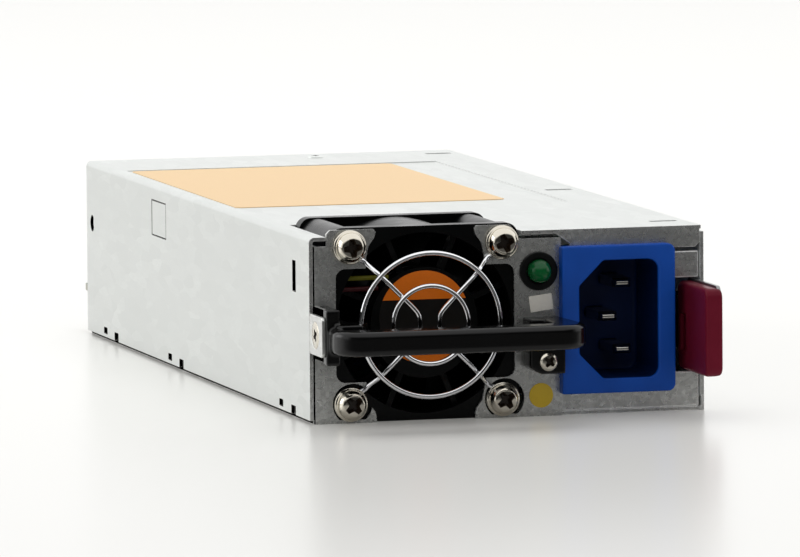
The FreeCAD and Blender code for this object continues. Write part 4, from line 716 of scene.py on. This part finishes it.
def blade(bm, turn, inner, outer, front, rear, axis):
    """One fan blade: a thin twisted and cupped sheet from the hub to near the barrel."""
    sides = [blade_side(bm, side, turn, inner, outer, front, rear, axis) for side in (-1, 1)]
    for rows, flip in zip(sides, (False, True)):
        for near, far in zip(rows, rows[1:]):
            for j in range(BLADE_CHORDS):
                corners = [near[j], near[j + 1], far[j + 1], far[j]]
                bm.faces.new(list(reversed(corners)) if flip else corners)
    rim_low, rim_high = [
        [row[0] for row in rows] + rows[-1][1:] + [row[-1] for row in rows[-2::-1]] + rows[0][-2:0:-1]
        for rows in sides]
    join_rings(bm, rim_low, rim_high)


def build_rotor(black):
    """Rotor: a round-edged cup with seven curved blades."""
    low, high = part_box("fan_rotor")
    hub_low, hub_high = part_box("fan_magnet_ring")
    middle = middle_of("fan_rotor")
    axis = (middle.x, middle.z)
    outer = (high.x - low.x) / 2
    hub = (hub_high.x - hub_low.x) / 2 + CUP_OVER_MAGNET
    bore = hub - CUP_WALL
    front, rear = low.y, high.y
    floor = rear - CUP_FLOOR
    cup = bmesh.new()
    outside = rounded_profile([(bore, front), (hub, front), (hub, rear), (SHAFT_SEAT, rear)],
                              (0.3 * MM, 1.0 * MM))
    inside = [(SHAFT_SEAT, floor), (bore, floor), (bore, front)]
    lathe(cup, outside + inside, 96)
    bmesh.ops.remove_doubles(cup, verts=cup.verts, dist=1e-7)
    cup.transform(Matrix.Translation((axis[0], 0, axis[1])) @ Matrix.Rotation(math.radians(-90), 4, "X"))
    blades = bmesh.new()
    for number in range(BLADES):
        blade(blades, 2 * math.pi * number / BLADES, hub - BLADE_SINK, outer - BLADE_GAP,
              front + BLADE_INSET, rear - BLADE_INSET, axis)
    bmesh.ops.recalc_face_normals(blades, faces=blades.faces)
    whole = joined((cup, blades))
    piece = finished("fan_rotor_blades", "fan_rotor", whole, black, WHEEL)
    piece.data.set_sharp_from_angle(angle=math.radians(40))


def hub_print(name, orange):
    """Round self-adhesive label: orange paper with a dark band across, under varnish."""
    material = new_material(name)
    place = add(material, "TexCoord", output="Object")
    height = add(material, "SeparateXYZ", {"Vector": place}, "Z")
    middle = middle_of("fan_hub_label").z
    above = add(material, "Math", {0: height, 1: middle - 5.6 * MM}, operation="GREATER_THAN")
    below = add(material, "Math", {0: height, 1: middle + 3.7 * MM}, operation="LESS_THAN")
    band = add(material, "Math", {0: above, 1: below}, operation="MULTIPLY")
    fibre = add(material, "TexNoise", {"Vector": place, "Scale": 1 / (0.5 * MM), "Detail": 4.0,
                                       "Roughness": 0.7})
    paper = toned(material, fibre, 0.3, 0.7, with_alpha(orange, 0.92), with_alpha(orange))
    tone = add(material, "Mix", {0: band, 6: paper, 7: with_alpha(linear("12100E"))}, 2, data_type="RGBA")
    shader = add(material, "BsdfPrincipled", {"Base Color": tone, "Roughness": 0.4,
                                              "Specular IOR Level": 0.25})
    add(material, "OutputMaterial", {"Surface": shader})
    return material


def in_second_lead(leads):
    """A test for the faces of the lower of the two leads."""
    bm = bmesh.new()
    bm.from_mesh(leads.data)
    bm.faces.ensure_lookup_table()
    lower = min(islands(bm), key=lambda lead: sum(face.calc_center_median().z for face in lead) / len(lead))
    chosen = {face.index for face in lower}
    bm.free()
    return lambda face: face.index in chosen


class SUPPLY_OT_fan(bpy.types.Operator):
    """Build the fan: its moulded housing, the rotor with its blades, the hub's label and the leads"""

    bl_idname = "supply.fan"
    bl_label = "Fan"

    def execute(self, context):
        values = settings()
        black = moulded_plastic("glass_filled_polyester", values.fan_black, 0.3, 0.35, 0.004, 0.18)
        dressed("fan_frame", black, CASE, 0.3)
        dressed("fan_motor_mount", black, CASE, 0.25)
        build_rotor(black)
        dressed("fan_hub_label", hub_print("varnished_paper_hub", values.hub_orange), CASE, 0.05)
        yellow = moulded_plastic("pvc_insulation_yellow", linear("5C5A10"), 0.4, shine=0.2)
        leads = dressed("fan_leads", yellow, CASE, 0.0)
        red = moulded_plastic("pvc_insulation_red", linear("380A0E"), 0.4, shine=0.2)
        second_finish(leads, red, in_second_lead(leads))
        repaint(("fan_plug",), moulded_plastic("nylon_natural", linear("D8D4C4"), 0.4))
        return {"FINISHED"}


# ---- guard and screws
GUARD_WIRE = 1.05 * MM
GUARD_LOOP = 2.83 * MM
GUARD_RINGS = (15.1 * MM, 8.2 * MM)
SCREW_WASHER = 3.6 * MM
SCREW_RISE = 3.3 * MM
SCREW_TURNS = (0.12, 0.35, 0.72, 0.62)


def fan_screw_places():
    """The four fan screw axes, as X and Z."""
    low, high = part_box("fan_screws")
    return [(x, z) for z in (high.z - SCREW_WASHER, low.z + SCREW_WASHER)
            for x in (low.x + SCREW_WASHER, high.x - SCREW_WASHER)]


def guard_half(screw, centre, plane, raised, sign):
    """Control points of half a guard wire: round the screw, inwards, up the step and in to the apex."""
    level = 1 if screw[1] > centre[1] else -1
    toward = Vector((centre[0] - screw[0], 0, centre[1] - screw[1])).normalized()
    aside = Vector((-toward.z * sign * level, 0, toward.x * sign * level))
    middle = Vector((screw[0], plane, screw[1]))
    points = []
    for degrees in (250, 215, 180, 145, 110, 75, 40, 5, -30):
        turn = math.radians(degrees)
        points.append(middle + (aside * math.cos(turn) - toward * math.sin(turn)) * GUARD_LOOP)
    lift = Vector((0, raised - plane, 0))
    points.append(middle + toward * 3.5 * MM)
    points.append(middle + toward * 5.5 * MM)
    points.append(middle + toward * 8.5 * MM + lift)
    for across, up in ((5.6, 5.7), (2.4, 2.5), (2.1, 0.9)):
        points.append(Vector((centre[0] + sign * across * MM, raised, centre[1] + level * up * MM)))
    return points


def build_guard(chrome):
    """Two bent wires looped round the screws and two rings welded in front of them."""
    low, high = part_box("fan_guard")
    places = fan_screw_places()
    centre = (sum(x for x, _ in places) / 4, sum(z for _, z in places) / 4)
    plane = high.y - GUARD_WIRE / 2
    raised = low.y + GUARD_WIRE * 1.5 - 0.12 * MM
    wires = []
    for sign in (-1, 1):
        own = [place for place in places if (place[0] - centre[0]) * sign > 0]
        upper = guard_half(own[0], centre, plane, raised, sign)
        lower = guard_half(own[1], centre, plane, raised, sign)
        wires.append(wire_mesh(upper + list(reversed(lower)), GUARD_WIRE / 2))
    for radius in GUARD_RINGS:
        turns = [math.radians(7.5 * step) for step in range(48)]
        ring = [Vector((centre[0] + radius * math.cos(turn), low.y + GUARD_WIRE / 2,
                        centre[1] + radius * math.sin(turn))) for turn in turns]
        wires.append(wire_mesh(ring, GUARD_WIRE / 2, closed=True, round_steps=4))
    finished("fan_guard_wires", "fan_guard", joined(wires), chrome, CASE)


class SUPPLY_OT_guard(bpy.types.Operator):
    """Build the bright wire guard and the four washer head screws that hold it"""

    bl_idname = "supply.guard"
    bl_label = "Guard and screws"

    def execute(self, context):
        values = settings()
        build_guard(plated_wire("chromium_plated_wire", values.chromium, 0.035))
        nickel = plated_wire("nickel_plated_steel", values.nickel, 0.09)
        profile = rounded_profile(
            [(0, 0), (SCREW_WASHER, 0), (SCREW_WASHER, 0.75 * MM), (3.1 * MM, 0.95 * MM),
             (3.05 * MM, 1.7 * MM), (2.35 * MM, 2.95 * MM), (0, SCREW_RISE)],
            (0.15 * MM, 0.25 * MM, 0.15 * MM, 0.4 * MM, 0.5 * MM))
        profile = [(0, -0.9 * MM), (1.9 * MM, -0.9 * MM), (1.9 * MM, 0)] + profile[1:]
        head = screw_mesh(profile, 4.3 * MM, 1.7 * MM)
        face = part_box("fan_screws")[0].y + SCREW_RISE
        places = [facing_front((x, face, z), turn) for (x, z), turn in zip(fan_screw_places(), SCREW_TURNS)]
        set_screws("fan_screw_heads", "fan_screws", head, places, nickel)
        return {"FINISHED"}


# ---- handle
class SUPPLY_OT_handle(bpy.types.Operator):
    """Build the carry handle and its steel strap"""

    bl_idname = "supply.handle"
    bl_label = "Handle"

    def execute(self, context):
        values = settings()
        black = moulded_plastic("glass_filled_nylon", values.handle_black, 0.17, 0.35, 0.004, 0.35)
        moulded("handle", black, CASE, 0.3, 5)
        strap = galvanised_sheet("galvanised_strap", values.front_zinc, 0.3, 1.0, 0.12)
        dressed("handle_strap", strap, CASE, 0.12)
        return {"FINISHED"}


class SUPPLY_OT_small_screws(bpy.types.Operator):
    """Build the small screws: two that hold the handle and one on the cover"""

    bl_idname = "supply.small_screws"
    bl_label = "Small screws"

    def execute(self, context):
        values = settings()
        nickel = plated_wire("nickel_plated_small", values.nickel, 0.2)
        pan_rise = 1.3 * MM
        pan = rounded_profile([(0, 0), (2.0 * MM, 0), (2.0 * MM, 0.6 * MM), (1.4 * MM, 1.2 * MM),
                               (0, pan_rise)], (0.1 * MM, 0.3 * MM, 0.3 * MM))
        middle = middle_of("handle_foot_screw")
        foot = facing_front((middle.x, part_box("handle_foot_screw")[0].y + pan_rise, middle.z), 0.9)
        head = screw_mesh(pan, 2.5 * MM, 0.9 * MM)
        set_screws("handle_foot_screw_head", "handle_foot_screw", head, [foot], nickel)
        sunk = [(0, -0.8 * MM), (1.9 * MM, -0.8 * MM), (2.85 * MM, -0.06 * MM), (2.75 * MM, 0), (0, 0)]
        middle = middle_of("handle_side_screw")
        side = facing_left((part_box("handle_side_screw")[0].x, middle.y, middle.z), 0.5)
        head = screw_mesh(sunk, 2.7 * MM, 0.7 * MM)
        set_screws("handle_side_screw_head", "handle_side_screw", head, [side], nickel)
        round_head = rounded_profile([(0, 0), (1.85 * MM, 0), (1.85 * MM, 0.15 * MM), (1.2 * MM, 0.4 * MM),
                                      (0, 0.45 * MM)], (0.05 * MM, 0.1 * MM, 0.2 * MM))
        middle = middle_of("cover_screw")
        cover = Matrix.Translation((middle.x, middle.y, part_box("cover_screw")[1].z - 0.8 * MM))
        pale = plated_wire("zinc_plated_small", values.zinc, 0.3)
        head = screw_mesh(round_head, 2.0 * MM, 0.4 * MM)
        set_screws("cover_screw_head", "cover_screw", head, [cover], pale)
        return {"FINISHED"}


# ---- mains inlet
def in_socket():
    """A test for the faces inside the mouth of the mains inlet, which sees little light."""
    low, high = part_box("inlet_body")
    middle = middle_of("inlet_pins").z

    def inside(face):
        centre = face.center
        apart = abs(centre.z - middle) < 12.9 * MM and low.x + 3.0 * MM < centre.x < high.x - 3.0 * MM
        return apart and centre.y > low.y + 0.6 * MM and centre.y < high.y - 2.0 * MM

    return inside


class SUPPLY_OT_inlet(bpy.types.Operator):
    """Build the blue mains inlet and its three pins"""

    bl_idname = "supply.inlet"
    bl_label = "Mains inlet"

    def execute(self, context):
        values = settings()
        blue = moulded_plastic("polycarbonate_blend_blue", values.inlet_blue, 0.4, 0.35, 0.006, 0.2)
        body = moulded("inlet_body", blue, CASE, 0.32, 4)
        # painted shade: the faces inside the socket's mouth get a far darker blue for the shade there
        socket_shade_blue = [channel * 0.15 for channel in values.inlet_blue]
        inner = moulded_plastic("polycarbonate_blend_painted_shade", socket_shade_blue, 0.5, shine=0.15)
        second_finish(body, inner, in_socket())
        dressed("inlet_pins", plated_wire("tin_plated_brass", linear("C8C6C0"), 0.2), CASE, 0.15)
        repaint(("inlet_leads",), moulded_plastic("pvc_insulation_black", linear("101010"), 0.4))
        return {"FINISHED"}


# ---- latch
class SUPPLY_OT_latch(bpy.types.Operator):
    """Build the sprung latch: the maroon thumb tab on its steel arm"""

    bl_idname = "supply.latch"
    bl_label = "Latch"

    def execute(self, context):
        values = settings()
        maroon = moulded_plastic("acetal_maroon", values.tab_maroon, 0.34, 0.35, 0.004, 0.12)
        moulded("latch_tab", maroon, LATCH, 0.28, 4)
        steel = galvanised_sheet("spring_steel_strip", linear("9A9C9C"), 0.3, 1.0)
        dressed("latch_arm", steel, LATCH, 0.1)
        repaint(("latch_pin", "latch_spring"), steel)
        return {"FINISHED"}


# ---- status lamp
class SUPPLY_OT_lamp(bpy.types.Operator):
    """Build the green status lamp in its black holder"""

    bl_idname = "supply.lamp"
    bl_label = "Status lamp"

    def execute(self, context):
        values = settings()
        low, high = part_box("lamp_holder")
        middle = middle_of("lamp_holder")
        rim = (high.x - low.x) / 2
        back = high.y - low.y
        bore = 2.55 * MM
        sleeve = rim - 0.6 * MM
        profile = rounded_profile([(bore, back), (bore, 0), (rim, 0), (rim, 0.7 * MM), (sleeve, 0.72 * MM),
                                   (sleeve, back), (bore, back)],
                                  (0.35 * MM, 0.3 * MM, 0.02 * MM, 0.02 * MM, 0.1 * MM))
        holder = bmesh.new()
        lathe(holder, [(radius, -height) for radius, height in profile], 72)
        bmesh.ops.remove_doubles(holder, verts=holder.verts, dist=1e-7)
        holder.transform(facing_front((middle.x, low.y, middle.z)))
        black = moulded_plastic("nylon_black", values.fan_black, 0.4)
        finished("lamp_holder_ring", "lamp_holder", holder, black, CASE)
        radius = 2.5 * MM
        dome = bmesh.new()
        arc = [(radius * math.cos(turn), radius * math.sin(turn)) for turn in
               (math.radians(90 * step / 14) for step in range(14))]
        lathe(dome, [(0, -6.0 * MM), (radius, -6.0 * MM)] + arc + [(0, radius)], 72)
        dome.transform(facing_front((middle.x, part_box("status_lamp")[0].y + radius, middle.z)))
        lens = clear_lens("tinted_epoxy_green", values.lamp_green)
        finished("status_lamp_lens", "status_lamp", dome, lens, CASE)
        return {"FINISHED"}


# ---- boards and what stands on them
INSIDE_FINISHES = (
    (plated_wire, "hard_gold_plate", "D8B058", 0.18, ("edge_contacts",)),
    (plated_wire, "brass_turned", "B8945A", 0.25, ("busbars", "fuse_clips", "board_posts")),
    (moulded_plastic, "shrink_sleeve_dark", "1C2238", 0.3, ("bulk_capacitors", "output_capacitors")),
    (moulded_plastic, "flame_retardant_polyester", "2A3C66", 0.4, ("filter_capacitors", "inrush_relay")),
    (moulded_plastic, "epoxy_moulding_compound", "141414", 0.5,
     ("power_transistors", "bridge_rectifier", "control_chips")),
    (printed_paper, "polyester_tape_yellow", "C9A52A", 0.3, ("transformer_winding",)),
    (moulded_plastic, "fish_paper_natural", "CFC9B4", 0.5, ("insulation_sheet", "capacitor_saddle")),
    (moulded_plastic, "ceramic_fuse_body", "D9D6CC", 0.3, ("line_fuse",)),
    (moulded_plastic, "bonded_ferrite_ring", "2A2826", 0.6, ("fan_magnet_ring",)),
    (plated_wire, "ground_steel_shaft", "B8B8B8", 0.15, ("fan_shaft",)),
    (plated_wire, "sintered_bronze", "9C7848", 0.35, ("fan_bearings",)),
)


class SUPPLY_OT_boards(bpy.types.Operator):
    """Finish the circuit boards, windings, capacitors and heat sinks inside the case"""

    bl_idname = "supply.boards"
    bl_label = "Boards"

    def execute(self, context):
        values = settings()
        laminate = circuit_laminate("glass_epoxy_laminate", values.laminate_green)
        repaint(("main_board", "control_card"), laminate)
        card = dressed("edge_board", laminate, CASE, 0.1)
        edge = printed_paper("bare_laminate_cut_edge", linear("C9C8BC"), 0.6)
        second_finish(card, edge, lambda face: abs(face.normal.z) < 0.5)
        repaint(("filter_choke", "boost_choke", "output_choke", "fan_stator"),
                wound_copper("enamelled_copper_wire", values.copper))
        for make, name, colour, roughness, nodes in INSIDE_FINISHES:
            repaint(nodes, make(name, linear(colour), roughness))
        repaint(("board_screws",), plated_wire("nickel_plated_board_screws", values.nickel, 0.2))
        repaint(("primary_heatsink", "output_heatsink"),
                galvanised_sheet("extruded_aluminium", linear("B4B6B8"), 0.35, 1.0))
        ferrite = moulded_plastic("sintered_ferrite", linear("26262A"), 0.6, 0.8, 0.05)
        repaint(("transformer_core",), ferrite)
        return {"FINISHED"}


# ---- stage
VIEW_PLACE = Vector((-0.58807, FRONT_Y - 2.05214, 0.24038))
VIEW_TURN = math.radians(-15.387)
VIEW_LIFT = math.radians(5.644)
VIEW_ROLL = math.radians(-0.429)
VIEW_LENS = 460.95
# Where along Y the floor's mirror image dims, and how bright the mirrored room is ahead and elsewhere.
FLOOR_DIM_FROM = FRONT_Y - 0.08
FLOOR_DIM_TO = FRONT_Y - 0.015
ROOM_DIM = 0.03
ROOM_BRIGHT = 1.12


def build_floor():
    """A wide pale sheet of glossy board under the supply, dim where the front mirrors it."""
    bm = bmesh.new()
    side = 8.0
    for x, y in ((-side, -side), (side, -side), (side, side), (-side, side)):
        bm.verts.new((x, y, 0))
    bm.faces.new(bm.verts)
    mesh = bpy.data.meshes.new("floor")
    bm.to_mesh(mesh)
    bm.free()
    floor = bpy.data.objects.new("floor", mesh)
    bpy.context.scene.collection.objects.link(floor)
    material = new_material("pale_glossy_board")
    camera_ray = add(material, "LightPath", output="Is Camera Ray")
    board = add(material, "BsdfPrincipled", {"Base Color": with_alpha(linear("F2F1EE")), "Roughness": 0.26,
                                             "Specular IOR Level": 0.4})
    glow = add(material, "Emission", {"Color": with_alpha(linear("FBFBF4")), "Strength": 0.09})
    lifted = add(material, "AddShader", {0: board, 1: glow})
    place = add(material, "TexCoord", output="Object")
    depth = add(material, "SeparateXYZ", {"Vector": place}, "Y")
    ahead = add(material, "MapRange", {"Value": depth, "From Min": FLOOR_DIM_FROM, "From Max": FLOOR_DIM_TO,
                                       "To Min": 1.0, "To Max": 0.0})
    shaded = add(material, "Math", {0: camera_ray.node.outputs["Is Glossy Ray"], 1: ahead},
                 operation="MULTIPLY")
    dim = add(material, "BsdfDiffuse", {"Color": with_alpha(linear("606060"))})
    mirrored = add(material, "MixShader", {0: shaded, 1: board, 2: dim})
    seen = add(material, "MixShader", {0: camera_ray, 1: mirrored, 2: lifted})
    add(material, "OutputMaterial", {"Surface": seen})
    mesh.materials.append(material)


def build_room():
    """Pale room all round: plain light on surfaces, white behind them, and a dim front in reflections."""
    world = bpy.data.worlds.new("pale_room")
    bpy.context.scene.world = world
    world.use_nodes = True
    world.node_tree.nodes.clear()
    camera_ray = add(world, "LightPath", output="Is Camera Ray")
    rays = camera_ray.node.outputs
    place = add(world, "TexCoord", output="Generated")
    apart = add(world, "SeparateXYZ", {"Vector": place}).node.outputs
    ahead = add(world, "MapRange", {"Value": apart["Y"], "From Min": -0.62, "From Max": -0.3,
                                    "To Min": ROOM_DIM, "To Max": ROOM_BRIGHT})
    above = add(world, "MapRange", {"Value": apart["Z"], "From Min": 0.3, "From Max": 0.6,
                                    "To Min": 0.0, "To Max": ROOM_BRIGHT})
    front = add(world, "Math", {0: ahead, 1: above}, operation="MAXIMUM")
    white = (1, 1, 1, 1)
    mirror = add(world, "Background", {"Color": white, "Strength": front})
    plain = add(world, "Background", {"Color": white, "Strength": settings().room_light})
    behind = add(world, "Background", {"Color": white, "Strength": 1.0})
    around = add(world, "MixShader", {0: rays["Is Glossy Ray"], 1: plain, 2: mirror})
    clear = add(world, "Math", {0: camera_ray, 1: rays["Is Transmission Ray"]}, operation="MAXIMUM")
    seen = add(world, "MixShader", {0: clear, 1: around, 2: behind})
    add(world, "OutputWorld", {"Surface": seen})


def soft_light(name, place, aim, width, height, power, mirrored):
    """A soft panel light at a place, turned to a point, seen in reflections only where it is mirrored."""
    data = bpy.data.lights.new(name, "AREA")
    data.shape = "RECTANGLE"
    data.size = width
    data.size_y = height
    data.energy = power
    lamp = bpy.data.objects.new(name, data)
    bpy.context.scene.collection.objects.link(lamp)
    lamp.location = place
    lamp.rotation_euler = (Vector(aim) - Vector(place)).to_track_quat("-Z", "Y").to_euler()
    lamp.visible_glossy = mirrored


def build_camera():
    """The camera, in front and to the left of the supply, a little above it."""
    back = Vector((math.sin(VIEW_TURN) * math.cos(VIEW_LIFT), -math.cos(VIEW_TURN) * math.cos(VIEW_LIFT),
                   math.sin(VIEW_LIFT)))
    level = Vector((math.cos(VIEW_TURN), math.sin(VIEW_TURN), 0))
    upright = back.cross(level)
    right = level * math.cos(VIEW_ROLL) + upright * math.sin(VIEW_ROLL)
    up = upright * math.cos(VIEW_ROLL) - level * math.sin(VIEW_ROLL)
    data = bpy.data.cameras.new("camera")
    data.lens = VIEW_LENS
    data.sensor_width = 36.0
    data.clip_start = 0.01
    data.clip_end = 50.0
    camera = bpy.data.objects.new("camera", data)
    bpy.context.scene.collection.objects.link(camera)
    camera.matrix_world = Matrix.Translation(VIEW_PLACE) @ Matrix((right, up, back)).transposed().to_4x4()
    bpy.context.scene.camera = camera


class SUPPLY_OT_stage(bpy.types.Operator):
    """Build the pale floor, the soft lights, the room and the camera"""

    bl_idname = "supply.stage"
    bl_label = "Stage"

    def execute(self, context):
        build_floor()
        build_room()
        power = settings().lamp_power
        soft_light("light_above", (0.1, 0.5, 1.5), (0, 0, 0), 1.4, 1.2, power, False)
        soft_light("light_left", (-1.4, 0.6, 0.6), (0, 0, 0.02), 1.0, 0.8, power * 0.5, True)
        build_camera()
        context.scene.view_settings.view_transform = "Standard"
        return {"FINISHED"}


# ---- panel and run
OPERATORS = (SUPPLY_OT_stage, SUPPLY_OT_case, SUPPLY_OT_labels, SUPPLY_OT_fan, SUPPLY_OT_guard,
             SUPPLY_OT_handle, SUPPLY_OT_small_screws, SUPPLY_OT_inlet, SUPPLY_OT_latch, SUPPLY_OT_lamp,
             SUPPLY_OT_boards)


class SUPPLY_PT_panel(bpy.types.Panel):
    """Sidebar panel that lists the settings and the operators in their order"""

    bl_idname = "SUPPLY_PT_panel"
    bl_label = "Hot swap supply"
    bl_space_type = "VIEW_3D"
    bl_region_type = "UI"
    bl_category = "Supply"

    def draw(self, context):
        for name in SupplySettings.__annotations__:
            self.layout.prop(context.scene.supply, name)
        for operator in OPERATORS:
            self.layout.operator(operator.bl_idname)


CLASSES = (SupplySettings, *OPERATORS, SUPPLY_PT_panel)


def register():
    """Adds the classes and the settings."""
    for item in CLASSES:
        bpy.utils.register_class(item)
    bpy.types.Scene.supply = PointerProperty(type=SupplySettings)


def unregister():
    """Takes them away again."""
    del bpy.types.Scene.supply
    for item in reversed(CLASSES):
        bpy.utils.unregister_class(item)


def main():
    """Builds everything in order."""
    register()
    for operator in OPERATORS:
        family, name = operator.bl_idname.split(".")
        getattr(getattr(bpy.ops, family), name)()


if __name__ == "__main__":
    main()
